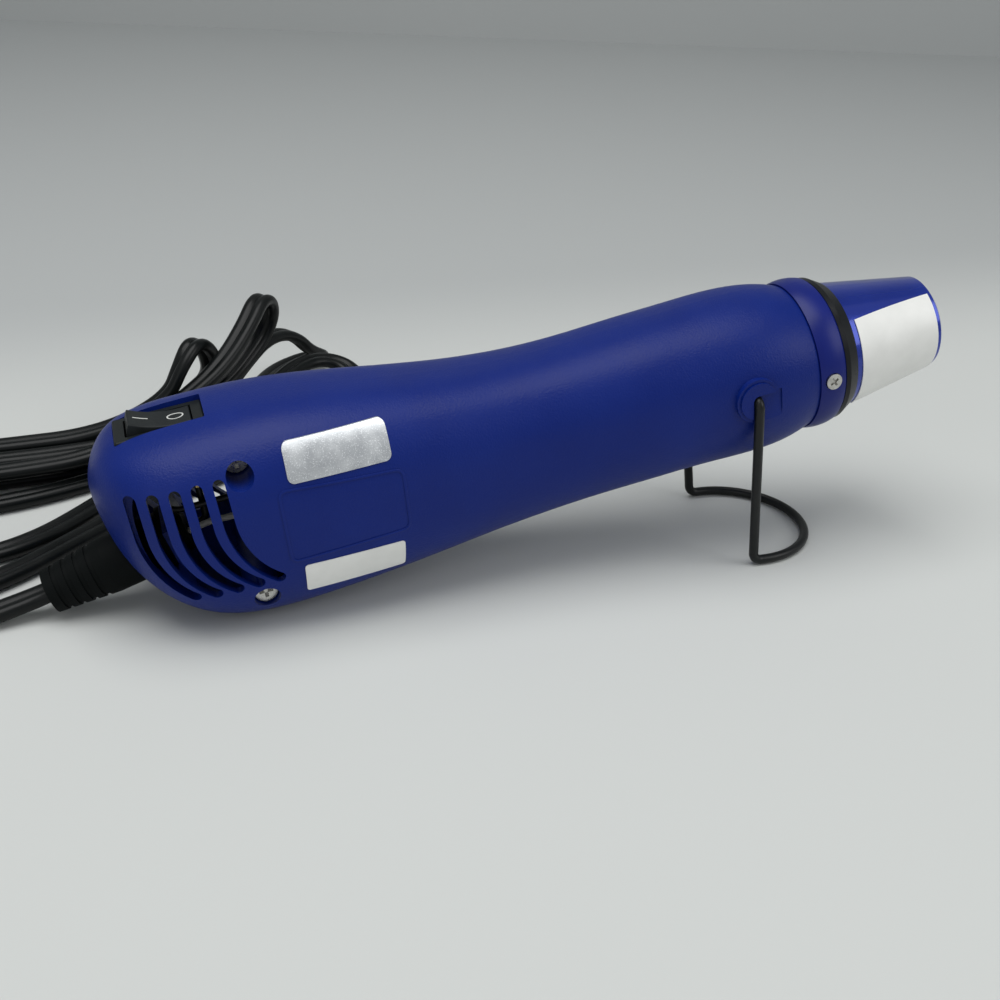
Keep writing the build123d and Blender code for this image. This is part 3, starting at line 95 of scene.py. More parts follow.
# Finishes. Sizes of patterns are per metre, so 2500 is a grain of 0.4 mm.
def surface(name, look):
    material = bpy.data.materials.new(name)
    material.use_nodes = True
    nodes = material.node_tree.nodes
    link = material.node_tree.links.new
    shader = nodes["Principled BSDF"]
    coords = nodes.new("ShaderNodeTexCoord")
    place = nodes.new("ShaderNodeMapping")
    place.inputs["Rotation"].default_value = (0, math.radians(look.get("turn", 0)), 0)
    place.inputs["Scale"].default_value = look.get("stretch", (1, 1, 1))
    link(coords.outputs["Object"], place.inputs["Vector"])

    cloud = nodes.new("ShaderNodeTexNoise")
    cloud.inputs["Scale"].default_value = look.get("cloud", 60)
    cloud.inputs["Detail"].default_value = 4
    grain = nodes.new("ShaderNodeTexNoise")
    grain.inputs["Scale"].default_value = look.get("grain", 2500)
    grain.inputs["Detail"].default_value = look.get("grainDetail", 2)
    for texture in (cloud, grain):
        link(place.outputs["Vector"], texture.inputs["Vector"])

    tint = nodes.new("ShaderNodeValToRGB")
    for element, position, tone in zip(tint.color_ramp.elements, noiseSpan, (look["shade"], look["colour"])):
        element.position = position
        element.color = (*tone, 1)
    link(cloud.outputs["Fac"], tint.inputs["Fac"])
    colour = tint.outputs["Color"]

    if "fleck" in look:  # small bright or dark points scattered over the surface
        points = nodes.new("ShaderNodeValToRGB")
        points.color_ramp.elements[0].position = look["fleckFrom"]
        points.color_ramp.elements[1].position = look["fleckFrom"] + look.get("fleckBlur", 0.05)
        link(grain.outputs["Fac"], points.inputs["Fac"])
        mix = nodes.new("ShaderNodeMix")
        mix.data_type = "RGBA"
        mix.inputs["B"].default_value = (*look["fleck"], 1)
        link(points.outputs["Color"], mix.inputs["Factor"])
        link(colour, mix.inputs["A"])
        colour = mix.outputs["Result"]

    if "bands" in look:  # wound wire, layers and tracks
        wave = nodes.new("ShaderNodeTexWave")
        wave.bands_direction = look.get("bandAxis", "X")
        wave.wave_profile = look.get("profile", "SIN")
        wave.inputs["Scale"].default_value = look["bands"]
        wave.inputs["Distortion"].default_value = look.get("waver", 0.6)
        wave.inputs["Detail"].default_value = 1
        link(place.outputs["Vector"], wave.inputs["Vector"])
        edge = nodes.new("ShaderNodeValToRGB")
        edge.color_ramp.elements[0].position = look.get("bandFrom", 0.3)
        edge.color_ramp.elements[1].position = look.get("bandTo", 0.6)
        link(wave.outputs["Fac"], edge.inputs["Fac"])
        mix = nodes.new("ShaderNodeMix")
        mix.data_type = "RGBA"
        mix.inputs["A"].default_value = (*look["bandColour"], 1)
        link(edge.outputs["Color"], mix.inputs["Factor"])
        link(colour, mix.inputs["B"])
        colour = mix.outputs["Result"]
    link(colour, shader.inputs["Base Color"])

    rough = nodes.new("ShaderNodeMapRange")
    rough.inputs["From Min"].default_value, rough.inputs["From Max"].default_value = noiseSpan
    rough.inputs["To Min"].default_value, rough.inputs["To Max"].default_value = look["rough"]
    link(cloud.outputs["Fac"], rough.inputs["Value"])
    link(rough.outputs["Result"], shader.inputs["Roughness"])

    bump = nodes.new("ShaderNodeBump")
    bump.inputs["Strength"].default_value = look.get("bump", 0.2)
    bump.inputs["Distance"].default_value = look.get("depth", 0.00005)
    link(wave.outputs["Fac"] if "bands" in look else grain.outputs["Fac"], bump.inputs["Height"])
    link(bump.outputs["Normal"], shader.inputs["Normal"])

    shader.inputs["Metallic"].default_value = look.get("metal", 0)
    shader.inputs["Specular IOR Level"].default_value = look.get("specular", 0.5)
    shader.inputs["Coat Weight"].default_value = look.get("coat", 0)
    shader.inputs["Coat Roughness"].default_value = look.get("coatRough", 0.1)
    return material


looks = {
    "bluePlastic": {"colour": (0.0035, 0.0175, 0.170), "shade": (0.0028, 0.0142, 0.147), "rough": (0.32, 0.42),
                    "specular": 0.18, "cloud": 45, "grain": 2100, "grainDetail": 3, "bump": 0.6,
                    "depth": 0.00015},
    "glossyBlue": {"colour": (0.004, 0.012, 0.155), "shade": (0.003, 0.009, 0.122), "rough": (0.30, 0.40),
                   "specular": 0.18, "cloud": 70, "grain": 900, "bump": 0.08, "coat": 0.12, "coatRough": 0.32},
    "blueEnamel": {"colour": (0.010, 0.038, 0.37), "shade": (0.006, 0.022, 0.25), "rough": (0.17, 0.26),
                   "cloud": 50, "grain": 1400, "bump": 0.06, "metal": 0.55, "coat": 0.6, "coatRough": 0.07},
    "switchBlack": {"colour": (0.014, 0.017, 0.017), "shade": (0.009, 0.011, 0.011), "rough": (0.36, 0.48),
                    "specular": 0.2, "cloud": 220, "grain": 4200, "bump": 0.22, "depth": 0.00004},
    "rockerBlack": {"colour": (0.017, 0.020, 0.021), "shade": (0.011, 0.013, 0.014), "rough": (0.42, 0.55),
                    "specular": 0.2, "cloud": 260, "grain": 5200, "bump": 0.18, "depth": 0.00004},
    "markWhite": {"colour": (0.72, 0.73, 0.70), "shade": (0.60, 0.61, 0.58), "rough": (0.4, 0.5), "cloud": 900},
    "ringBlack": {"colour": (0.009, 0.010, 0.012), "shade": (0.005, 0.006, 0.007), "rough": (0.26, 0.40),
                  "specular": 0.2, "cloud": 150, "grain": 2600, "bump": 0.16},
    "softBlack": {"colour": (0.004, 0.005, 0.005), "shade": (0.002, 0.003, 0.003), "rough": (0.46, 0.60),
                  "specular": 0.07, "cloud": 140, "grain": 3000, "bump": 0.3, "depth": 0.00008},
    "cordBlack": {"colour": (0.006, 0.007, 0.007), "shade": (0.003, 0.004, 0.004), "rough": (0.26, 0.38),
                  "specular": 0.15, "cloud": 90, "grain": 1500, "bump": 0.12, "coat": 0.1, "coatRough": 0.25},
    "wireBlack": {"colour": (0.007, 0.008, 0.008), "shade": (0.004, 0.005, 0.005), "rough": (0.30, 0.42),
                  "specular": 0.3, "cloud": 300, "grain": 5200, "bump": 0.2},
    "brightSteel": {"colour": (0.62, 0.61, 0.58), "shade": (0.45, 0.44, 0.42), "rough": (0.20, 0.34),
                    "cloud": 900, "grain": 5200, "bump": 0.15, "metal": 1},
    "nickelCan": {"colour": (0.52, 0.52, 0.50), "shade": (0.40, 0.40, 0.38), "rough": (0.28, 0.40),
                  "cloud": 160, "grain": 2200, "bump": 0.18, "metal": 1, "stretch": (0.1, 1, 1)},
    "heatTube": {"colour": (0.40, 0.39, 0.36), "shade": (0.22, 0.19, 0.15), "rough": (0.30, 0.48),
                 "cloud": 110, "grain": 1800, "bump": 0.2, "metal": 1, "stretch": (0.3, 1, 1)},
    "foil": {"colour": (0.66, 0.68, 0.69), "shade": (0.52, 0.54, 0.56), "rough": (0.30, 0.42), "cloud": 260,
             "grain": 3600, "grainDetail": 4, "bump": 0.25, "metal": 0.75, "fleck": (0.90, 0.92, 0.94),
             "fleckFrom": 0.56, "fleckBlur": 0.1, "coat": 0.4, "coatRough": 0.12},
    "labelPaper": {"colour": (0.80, 0.80, 0.77), "shade": (0.73, 0.73, 0.70), "rough": (0.42, 0.55),
                   "cloud": 140, "grain": 3200, "bump": 0.12, "coat": 0.15, "coatRough": 0.3},
    "mica": {"colour": (0.56, 0.47, 0.33), "shade": (0.40, 0.32, 0.21), "rough": (0.32, 0.5), "cloud": 320,
             "grain": 2600, "bump": 0.25, "fleck": (0.78, 0.72, 0.58), "fleckFrom": 0.6, "coat": 0.2},
    "heaterWire": {"colour": (0.34, 0.31, 0.28), "shade": (0.17, 0.14, 0.12), "rough": (0.35, 0.5),
                   "cloud": 700, "grain": 5200, "bump": 0.2, "metal": 0.9},
    "magnet": {"colour": (0.060, 0.058, 0.056), "shade": (0.035, 0.034, 0.033), "rough": (0.5, 0.65),
               "cloud": 500, "grain": 4200, "bump": 0.3},
    "laminations": {"colour": (0.36, 0.35, 0.34), "shade": (0.28, 0.27, 0.26), "rough": (0.32, 0.45),
                    "turn": 10.2, "bands": 320, "bandColour": (0.10, 0.10, 0.10), "waver": 0,
                    "metal": 0.9, "depth": 0.0001},
    "copperWire": {"colour": (0.72, 0.26, 0.09), "shade": (0.50, 0.16, 0.05), "rough": (0.25, 0.38), "turn": 55,
                   "bands": 420, "bandColour": (0.20, 0.06, 0.02), "waver": 0.8, "metal": 0.85, "coat": 0.5,
                   "depth": 0.0002, "bump": 0.5},
    "copperBars": {"colour": (0.66, 0.30, 0.14), "shade": (0.48, 0.20, 0.09), "rough": (0.22, 0.36),
                   "cloud": 900, "grain": 4200, "bump": 0.15, "metal": 1},
    "brass": {"colour": (0.66, 0.49, 0.20), "shade": (0.60, 0.44, 0.18), "rough": (0.26, 0.34),
              "cloud": 120, "grain": 3600, "bump": 0.04, "metal": 1},
    "carbon": {"colour": (0.05, 0.045, 0.04), "shade": (0.03, 0.027, 0.025), "rough": (0.45, 0.6),
               "cloud": 900, "grain": 6000, "bump": 0.3, "fleck": (0.30, 0.16, 0.08), "fleckFrom": 0.62},
    "guideIvory": {"colour": (0.62, 0.58, 0.48), "shade": (0.54, 0.50, 0.41), "rough": (0.38, 0.5),
                   "cloud": 80, "grain": 2400, "bump": 0.18},
    # Painted shade: the motor end cap is coloured near black so that the intake slots in front of it look dark
    "capBlackAsPaintedShade": {"colour": (0.030, 0.030, 0.032), "shade": (0.020, 0.020, 0.021), "rough": (0.34, 0.46),
                 "cloud": 260, "grain": 3000, "bump": 0.15},
    "fanBlack": {"colour": (0.034, 0.034, 0.036), "shade": (0.022, 0.022, 0.024), "rough": (0.34, 0.48),
                 "cloud": 200, "grain": 2600, "bump": 0.2},
    "boardGreen": {"colour": (0.020, 0.17, 0.07), "shade": (0.014, 0.13, 0.05), "rough": (0.25, 0.38),
                   "cloud": 200, "bands": 95, "bandAxis": "Y", "bandColour": (0.05, 0.33, 0.15), "waver": 3,
                   "bandFrom": 0.2, "bandTo": 0.3, "coat": 0.4, "depth": 0.00003},
    "diodeBlack": {"colour": (0.020, 0.020, 0.020), "shade": (0.012, 0.012, 0.012), "rough": (0.3, 0.42),
                   "cloud": 900, "grain": 5200, "bump": 0.2},
    "cutoffBlack": {"colour": (0.045, 0.042, 0.040), "shade": (0.028, 0.026, 0.025), "rough": (0.38, 0.5),
                    "cloud": 900, "grain": 5200, "bump": 0.2},
    "fuseSteel": {"colour": (0.50, 0.46, 0.40), "shade": (0.38, 0.35, 0.30), "rough": (0.28, 0.4),
                  "cloud": 700, "grain": 4200, "bump": 0.12, "metal": 1},
    "leadBlack": {"colour": (0.016, 0.016, 0.017), "shade": (0.011, 0.011, 0.012), "rough": (0.34, 0.46),
                  "cloud": 400, "grain": 3600, "bump": 0.15},
    "leadWhite": {"colour": (0.66, 0.65, 0.61), "shade": (0.56, 0.55, 0.51), "rough": (0.36, 0.48),
                  "cloud": 400, "grain": 3600, "bump": 0.15},
}
finishes = {name: surface(name, look) for name, look in looks.items()}

nodeFinish = {
    "bluePlastic": ("housing_right", "housing_left"),
    "glossyBlue": ("collar",),
    "blueEnamel": ("nozzle_shield",),
    "ringBlack": ("heat_ring",),
    "switchBlack": ("switch_body",),
    "rockerBlack": ("rocker",),
    "softBlack": ("strain_relief", "plug_body"),
    "cordBlack": ("cord_run", "cord_hank", "cord_tail", "cord_tie"),
    "wireBlack": ("stand_wire",),
    "brightSteel": ("housing_screws", "collar_screws", "motor_shaft"),
    "heatTube": ("hot_air_tube",),
    "mica": ("mica_sleeve", "mica_card_upright", "mica_card_level"),
    "heaterWire": ("heater_coil",),
    "cutoffBlack": ("thermal_cutoff",),
    "fuseSteel": ("thermal_fuse",),
    "guideIvory": ("air_guide",),
    "nickelCan": ("motor_can",),
    # The end cap seen through the intake slots carries painted shade
    "capBlackAsPaintedShade": ("motor_endcap",),
    "brass": ("motor_bushes", "motor_tabs", "switch_terminals", "plug_blades"),
    "magnet": ("motor_magnets",),
    "carbon": ("motor_brushes",),
    "laminations": ("armature",),
    "copperWire": ("armature_windings",),
    "copperBars": ("commutator",),
    "fanBlack": ("fan_impeller",),
    "boardGreen": ("rectifier_board",),
    "diodeBlack": ("diodes",),
    "leadBlack": ("lead_live", "lead_switched"),
    "leadWhite": ("lead_neutral", "lead_heater"),
    "foil": ("badge_label",),
    "labelPaper": ("notice_label", "nozzle_label"),
}
for finish, names in nodeFinish.items():
    for name in names:
        cadNodes[name].data.materials.clear()
        cadNodes[name].data.materials.append(finishes[finish])
print("finishes given to the nodes")

# Moulded plug: a block with round long edges, drawn back into a ribbed neck
plug = {"rear": -0.1897, "front": -0.1717, "middle": (0.126, 0.007), "breadth": 0.022, "height": 0.0136,
        "corner": 0.0040, "segments": 6, "edge": 0.00035, "edgeAngle": 25, "shadeAngle": 40,
        "rim": 0.0016, "sunk": 0.0004,
        "neck": ((0.0016, 0.93, 0.95), (0.0020, 0.84, 0.88), (0.0020, 0.82, 0.86), (0.0010, 0.93, 0.94),
                 (0.0008, 0.86, 0.86), (0.0008, 1.16, 1.14), (0.0008, 0.84, 0.85), (0.0008, 1.14, 1.12),
                 (0.0008, 0.84, 0.85), (0.0007, 1.12, 1.12), (0.0007, 0.86, 0.88))}


def selectFaces(piece, wanted):
    bpy.ops.mesh.select_all(action="DESELECT")
    drawn = bmesh.from_edit_mesh(piece.data)
    for face in drawn.faces:
        face.select = wanted(face)
    drawn.select_flush_mode()
    bmesh.update_edit_mesh(piece.data)


def mouldedPlug():
    along, (across, up) = (plug["rear"] + plug["front"]) / 2, plug["middle"]
    bpy.ops.object.select_all(action="DESELECT")
    bpy.ops.mesh.primitive_cube_add(size=1, location=(along, across, up))
    piece = bpy.context.active_object
    piece.name = "plug_moulding"
    piece.scale = (plug["front"] - plug["rear"], plug["breadth"], plug["height"])
    bpy.ops.object.transform_apply(location=True, rotation=True, scale=True)
    bpy.ops.object.mode_set(mode="EDIT")
    bpy.ops.mesh.select_mode(type="EDGE")
    bpy.ops.mesh.select_all(action="DESELECT")
    drawn = bmesh.from_edit_mesh(piece.data)
    for edge in drawn.edges:
        run = edge.verts[1].co - edge.verts[0].co
        edge.select = abs(run.x) > 0.9 * run.length
    bmesh.update_edit_mesh(piece.data)
    bpy.ops.mesh.bevel(offset=plug["corner"], segments=plug["segments"], affect="EDGES")
    bpy.ops.mesh.select_mode(type="FACE")
    selectFaces(piece, lambda face: face.normal.x < -0.9)
    end = plug["rear"]
    for back, narrower, lower in plug["neck"]:
        end -= back
        bpy.ops.mesh.extrude_region_move(TRANSFORM_OT_translate={"value": (-back, 0, 0)})
        bpy.ops.transform.resize(value=(1, narrower, lower), center_override=(end, across, up))
    # A sunk face between the blades, as a mould leaves
    selectFaces(piece, lambda face: face.normal.x > 0.9)
    bpy.ops.mesh.inset(thickness=plug["rim"])
    bpy.ops.mesh.extrude_region_move(TRANSFORM_OT_translate={"value": (-plug["sunk"], 0, 0)})
    bpy.ops.object.mode_set(mode="OBJECT")
    applyModifier(piece, "BEVEL", width=plug["edge"], segments=2, limit_method="ANGLE",
                  angle_limit=math.radians(plug["edgeAngle"]))
    facesOutward(piece)
    smoothShade(piece, plug["shadeAngle"])
    hand(piece, "body", finishes["softBlack"], "soft_black", "plug_body")
    return piece


plugMoulding = mouldedPlug()

# Twist tie: a flat band with a wire down its middle, round the hank, with its two ends twisted on top
tie = {"along": -0.150717, "middle": (0.0729, 0.0071), "half": (0.0119, 0.0063), "square": 3.2, "width": 0.0036,
       "thick": 0.0005, "rounds": 72, "waver": 0.0004, "shadeAngle": 35,
       "tail": 0.013, "tailTurns": 2.5, "tailSteps": 40, "tailFrom": (0.002, 0.0006), "tailWidth": 0.55,
       "twistedTo": 0.6, "apart": 0.0007, "spread": 0.0030, "arch": 0.0022,
       "profile": ((-0.5, 0.5), (-0.14, 0.5), (0, 1.6), (0.14, 0.5), (0.5, 0.5), (0.5, -0.5), (-0.5, -0.5))}


def tieStrip(name, places, outs, sides, closed):
    # The profile at each place: a band, with the wire standing out along the middle of its outer face
    corners = []
    for place, out, side in zip(places, outs, sides):
        for share, high in tie["profile"]:
            corners.append(place + side * tie["width"] * share + out * tie["thick"] * high)
    count = len(tie["profile"])
    faces = []
    for ring in range(len(places) if closed else len(places) - 1):
        a, b = count * ring, count * ((ring + 1) % len(places))
        for step in range(count):
            following = (step + 1) % count
            faces.append((a + step, a + following, b + following, b + step))
    if not closed:
        faces.append(tuple(range(count)))
        faces.append(tuple(len(corners) - 1 - step for step in range(count)))
    return meshPiece(name, corners, faces)


def twistTie():
    middle = Vector((tie["along"], *tie["middle"]))
    wide, high = tie["half"]
    places, outs, sides = [], [], []
    for step in range(tie["rounds"]):
        turn = 2 * math.pi * step / tie["rounds"]
        c, s = math.cos(turn), math.sin(turn)
        reach = (abs(c) ** tie["square"] + abs(s) ** tie["square"]) ** (-1 / tie["square"])
        waver = tie["waver"] * math.sin(3 * turn)
        places.append(middle + Vector((waver, wide * c * reach, high * s * reach)))
        outs.append(Vector((0, c / wide, s / high)).normalized())
        sides.append(Vector((1, 0, 0)))
    strips = [tieStrip("twist_tie", places, outs, sides, True)]
    tailAcross, tailAbove = tie["tailFrom"]
    top = middle + Vector((0, tailAcross, high + tailAbove))
    for way in (0, math.pi):
        places, outs, sides = [], [], []
        for step in range(tie["tailSteps"] + 1):
            share = step / tie["tailSteps"]
            turn = way + 2 * math.pi * tie["tailTurns"] * min(1, share / tie["twistedTo"])
            apart = tie["apart"] + tie["spread"] * max(0, share - tie["twistedTo"]) / (1 - tie["twistedTo"])
            out = Vector((math.cos(turn), 0, math.sin(turn)))
            arch = tie["arch"] * math.sin(math.pi * share)
            places.append(top + out * apart + Vector((0, tie["tail"] * share, arch)))
            outs.append(out)
            sides.append(Vector((-math.sin(turn), 0, math.cos(turn))) * tie["tailWidth"])
        strips.append(tieStrip("tail", places, outs, sides, False))
    bpy.ops.object.select_all(action="DESELECT")
    for strip in strips:
        strip.select_set(True)
    bpy.context.view_layer.objects.active = strips[0]
    bpy.ops.object.join()
    piece = strips[0]
    facesOutward(piece)
    smoothShade(piece, tie["shadeAngle"])
    hand(piece, "body", finishes["softBlack"], "soft_black", "cord_tie")
    return piece


twistedTie = twistTie()
print("plug and tie made")

# Cord: a flat twin lead. Its points are in millimetres before the tool's shift along X.
cord = {
    "exit": (-0.11522, 0, 0.00617), "slope": 21.0, "length": 1.84, "width": 0.007, "height": 0.0036,
    "waist": 0.00118, "firstRun": 0.0046, "lower": 0.0004, "steps": 12, "rounds": 28,
    "groove": 2.5, "levelling": 0.25, "shadeAngle": 50,
    "points": [
        (-33.0, -3.0, 2.5), (-62.0, -12.0, 2.5), (-88.0, -14.0, 2.5), (-102.0, 0.0, 2.5),
        (-88.0, 13.0, 2.5), (-55.0, 4.0, 2.5), (-27.0, 14.0, 2.5), (-2.0, 38.0, 2.5), (22.0, 56.0, 2.5),
        (46.0, 72.0, 2.5), (70.0, 90.0, 2.5), (86.0, 106.0, 4.0), (84.1, 122.0, 7.8), (76.3, 126.0, 10.8),
        (66.5, 122.0, 11.2), (57.8, 112.0, 9.8), (38.0, 86.0, 2.5), (20.0, 71.0, 2.5), (6.0, 60.0, 2.5),
        (-6.0, 46.0, 2.5), (-17.0, 35.0, 2.5), (-30.0, 28.0, 2.5), (-55.0, 25.0, 2.5), (-84.0, 28.0, 2.5),
        (-100.0, 43.0, 2.5), (-84.0, 57.0, 2.5), (-55.0, 56.0, 2.5), (-27.0, 57.0, 2.5), (0.0, 67.0, 2.5),
        (20.0, 80.0, 2.5), (34.0, 92.0, 6.0), (39.6, 108.0, 10.6), (47.0, 116.0, 15.5), (54.5, 124.0, 19.6),
        (61.7, 130.0, 19.6), (67.6, 134.0, 15.9), (71.6, 136.0, 10.9), (77.5, 141.5, 6.2),
        (73.5, 147.5, 3.6), (61.0, 140.0, 2.5), (53.0, 126.0, 2.5), (44.0, 110.0, 2.5), (20.0, 88.0, 2.5),
        (0.0, 75.0, 2.5), (-27.0, 72.0, 2.5), (-50.0, 69.6, 3.3), (-70.0, 76.0, 3.0), (-96.0, 84.0, 3.0),
        (-113.0, 69.0, 5.0), (-98.0, 54.0, 8.5), (-72.0, 58.0, 8.7), (-50.0, 64.6, 8.7), (-27.0, 64.5, 8.6),
        (3.0, 68.0, 9.6), (29.9, 78.0, 23.7), (39.4, 86.0, 29.6), (46.5, 94.0, 36.4), (51.1, 101.0, 41.7),
        (54.5, 106.0, 39.8), (55.1, 108.0, 34.1), (51.8, 107.0, 27.0), (44.7, 101.0, 20.8),
        (37.8, 94.0, 17.1), (16.0, 78.0, 9.4), (-5.0, 74.0, 8.6), (-27.0, 72.5, 8.6), (-50.0, 72.4, 8.7),
        (-64.0, 70.0, 13.2), (-84.0, 66.0, 14.0), (-100.0, 80.0, 14.0), (-84.0, 94.0, 14.0),
        (-64.0, 88.0, 13.2), (-50.0, 80.6, 9.0), (-27.0, 81.0, 9.2), (0.0, 81.0, 10.2), (20.3, 80.0, 19.9),
        (25.3, 82.0, 29.8), (29.9, 87.0, 35.1), (34.3, 94.0, 29.3), (36.2, 101.0, 18.2),
        (29.0, 108.0, 10.0), (18.0, 105.0, 2.5), (4.0, 93.0, 2.5), (-27.0, 84.0, 2.5), (-50.0, 77.4, 3.3),
        (-78.0, 92.0, 2.5), (-104.0, 97.0, 2.5), (-122.0, 111.0, 3.5), (-108.0, 126.0, 6.8),
        (-101.0, 126.0, 7.0),
    ],
}


def cordLine():
    slope = math.radians(cord["slope"])
    start = Vector(cord["exit"])
    route = [start, start + Vector((-math.cos(slope), 0, -math.sin(slope))) * cord["firstRun"]]
    for x, y, z in cord["points"]:
        route.append(Vector((x / 1000 + pose["shift"], y / 1000, z / 1000 - cord["lower"])))
    curve = bpy.data.curves.new("cordRoute", "CURVE")
    curve.dimensions = "3D"
    curve.resolution_u = cord["steps"]
    spline = curve.splines.new("NURBS")
    spline.points.add(len(route) - 1)
    for point, place in zip(spline.points, route):
        point.co = (*place, 1)
    spline.order_u = 3
    spline.use_endpoint_u = True
    carrier = bpy.data.objects.new("cordRoute", curve)
    line = bpy.data.meshes.new_from_object(carrier)
    places = [vertex.co.copy() for vertex in line.vertices]
    bpy.data.meshes.remove(line)
    bpy.data.objects.remove(carrier)
    bpy.data.curves.remove(curve)
    return places


def cordSection():
    # Two round conductors side by side, with a groove down the middle of each face
    radius = cord["height"] / 2
    spread = cord["width"] / 2 - radius
    points = []
    for step in range(cord["rounds"]):
        turn = 2 * math.pi * step / cord["rounds"]
        across = (spread + radius) * math.cos(turn)
        up = radius * math.sin(turn)
        if abs(across) < spread:
            share = 0.5 + 0.5 * math.cos(math.pi * across / spread)
            up = math.copysign(radius - (radius - cord["waist"]) * share**cord["groove"], math.sin(turn))
        else:
            beyond = min(abs(across) - spread, radius)
            up = math.copysign(math.sqrt(radius**2 - beyond**2), math.sin(turn))
        points.append((across, up))
    return points


def flatTube(name, places, section):
    # The flat side stays level where the cord lies, and follows on where it rises steeply
    tops = []
    top = Vector((0, 0, 1))
    for before, after in zip(places[:1] + places[:-1], places[1:] + places[-1:]):
        along = (after - before).normalized()
        wanted = Vector((0, 0, 1)) - along * along.z
        carried = (top - along * top.dot(along)).normalized()
        if wanted.dot(carried) < 0:
            wanted = -wanted
        share = min(1, wanted.length**2) * cord["levelling"]
        top = (carried * (1 - share) + wanted.normalized() * share).normalized()
        tops.append((along, top))
    corners = []
    for place, (along, up) in zip(places, tops):
        side = along.cross(up).normalized()
        corners += [place + side * across + up * high for across, high in section]
    count = len(section)
    faces = []
    for ring in range(len(places) - 1):
        for step in range(count):
            following = (step + 1) % count
            a = ring * count
            faces.append((a + step, a + following, a + count + following, a + count + step))
    faces.append(tuple(range(count)))
    faces.append(tuple(len(corners) - 1 - step for step in range(count)))
    piece = meshPiece(name, corners, faces)
    facesOutward(piece)
    smoothShade(piece, cord["shadeAngle"])
    return piece


cordPlaces = cordLine()
flatCord = flatTube("flat_cord", cordPlaces, cordSection())
hand(flatCord, "body", finishes["cordBlack"], "soft_black", "cord_run", "cord_hank", "cord_tail")
print("cord:", len(cordPlaces), "places")

# Marks on the rocker, which rides with it
marks = {"along": 0.0191, "up": 0.0249, "turn": 11.0, "crown": 0.02531, "bend": 0.02341, "line": 0.0003,
         "bar": (-0.0059, -0.0025), "barSteps": 12, "ring": (0.0037, 0.0018, 0.0014), "steps": 40,
         "proud": 0.00004, "depth": 0.0001}


def rockerMark(name, outline, closed):
    place = toolPlace @ Matrix.Translation((marks["along"], 0, marks["up"])) @ Matrix.Rotation(
        math.radians(marks["turn"]), 4, "Y"
    )
    count = len(outline)
    corners = []
    for index, spot in enumerate(outline):
        before = outline[index - 1] if closed or index else spot
        after = outline[(index + 1) % count] if closed or index < count - 1 else spot
        run = (after - before).normalized()
        side = Vector((-run.y, run.x)) * marks["line"] / 2
        for offset in (-1, 1):
            x, y = spot + side * offset
            top = marks["crown"] - math.sqrt(marks["bend"] ** 2 - x**2) + marks["proud"]
            corners.append(place @ Vector((x, y, top)))
    faces = []
    for index in range(count if closed else count - 1):
        a, b = 2 * index, 2 * ((index + 1) % count)
        faces.append((a, b, b + 1, a + 1))
    piece = meshPiece(name, corners, faces)
    applyModifier(piece, "SOLIDIFY", thickness=marks["depth"], offset=0)
    facesOutward(piece)
    hand(piece, "rocker", finishes["markWhite"], "label_white")


barFrom, barTo = marks["bar"]
barShares = [step / marks["barSteps"] for step in range(marks["barSteps"] + 1)]
rockerMark("rocker_mark_on", [Vector((barFrom + (barTo - barFrom) * share, 0)) for share in barShares], False)
ringAt, ringLong, ringWide = marks["ring"]
ringTurns = [2 * math.pi * step / marks["steps"] for step in range(marks["steps"])]
rockerMark(
    "rocker_mark_off",
    [Vector((ringAt + ringLong * math.cos(turn), ringWide * math.sin(turn))) for turn in ringTurns],
    True,
)
print("marks set on the rocker")

# Faint moulded panel on the right flank: corners along the axis and up from it
panel = {"corners": ((0.0408, 0.0127), (0.0699, 0.0091), (0.0690, -0.0065), (0.0400, -0.0056)),
         "round": 0.0022, "width": 0.0005, "proud": 0.00012, "sunk": 0.00003, "thick": 0.0002,
         "outside": -0.035, "steps": 8, "divide": 14, "shadeAngle": 60}


def roundedOutline(corners, radius, steps, divide):
    points = []
    count = len(corners)
    for index in range(count):
        here = Vector(corners[index])
        before = (Vector(corners[index - 1]) - here).normalized()
        after = (Vector(corners[(index + 1) % count]) - here).normalized()
        for step in range(steps + 1):
            share = step / steps
            start, end = here + before * radius, here + after * radius
            points.append(start * (1 - share) ** 2 + here * 2 * share * (1 - share) + end * share**2)
        ahead = Vector(corners[(index + 1) % count]) - after * radius
        begin = here + after * radius
        for step in range(1, divide):
            points.append(begin.lerp(ahead, step / divide))
    return points


def mouldedPanel():
    outline = roundedOutline(panel["corners"], panel["round"], panel["steps"], panel["divide"])
    count = len(outline)
    corners = []
    for index, point in enumerate(outline):
        run = (outline[(index + 1) % count] - outline[index - 1]).normalized()
        side = Vector((-run.y, run.x)) * panel["width"] / 2
        for offset in (-1, 0, 1):
            spot = point + side * offset
            corners.append(toolPlace @ Vector((spot.x, panel["outside"], spot.y)))
    faces = []
    for index in range(count):
        a, b = 3 * index, 3 * ((index + 1) % count)
        faces += [(a, b, b + 1, a + 1), (a + 1, b + 1, b + 2, a + 2)]
    piece = meshPiece("moulded_panel", corners, faces)
    applyModifier(piece, "SHRINKWRAP", wrap_method="PROJECT", target=cadNodes["housing_right"],
                  use_project_y=True, use_positive_direction=True, use_negative_direction=True)
    for index, vertex in enumerate(piece.data.vertices):
        vertex.co.y += -panel["proud"] if index % 3 == 1 else panel["sunk"]
    applyModifier(piece, "SOLIDIFY", thickness=panel["thick"], offset=1)
    facesOutward(piece)
    smoothShade(piece, panel["shadeAngle"])
    hand(piece, "body", finishes["bluePlastic"], "blue_plastic")


mouldedPanel()
print("moulded panel set on the flank")

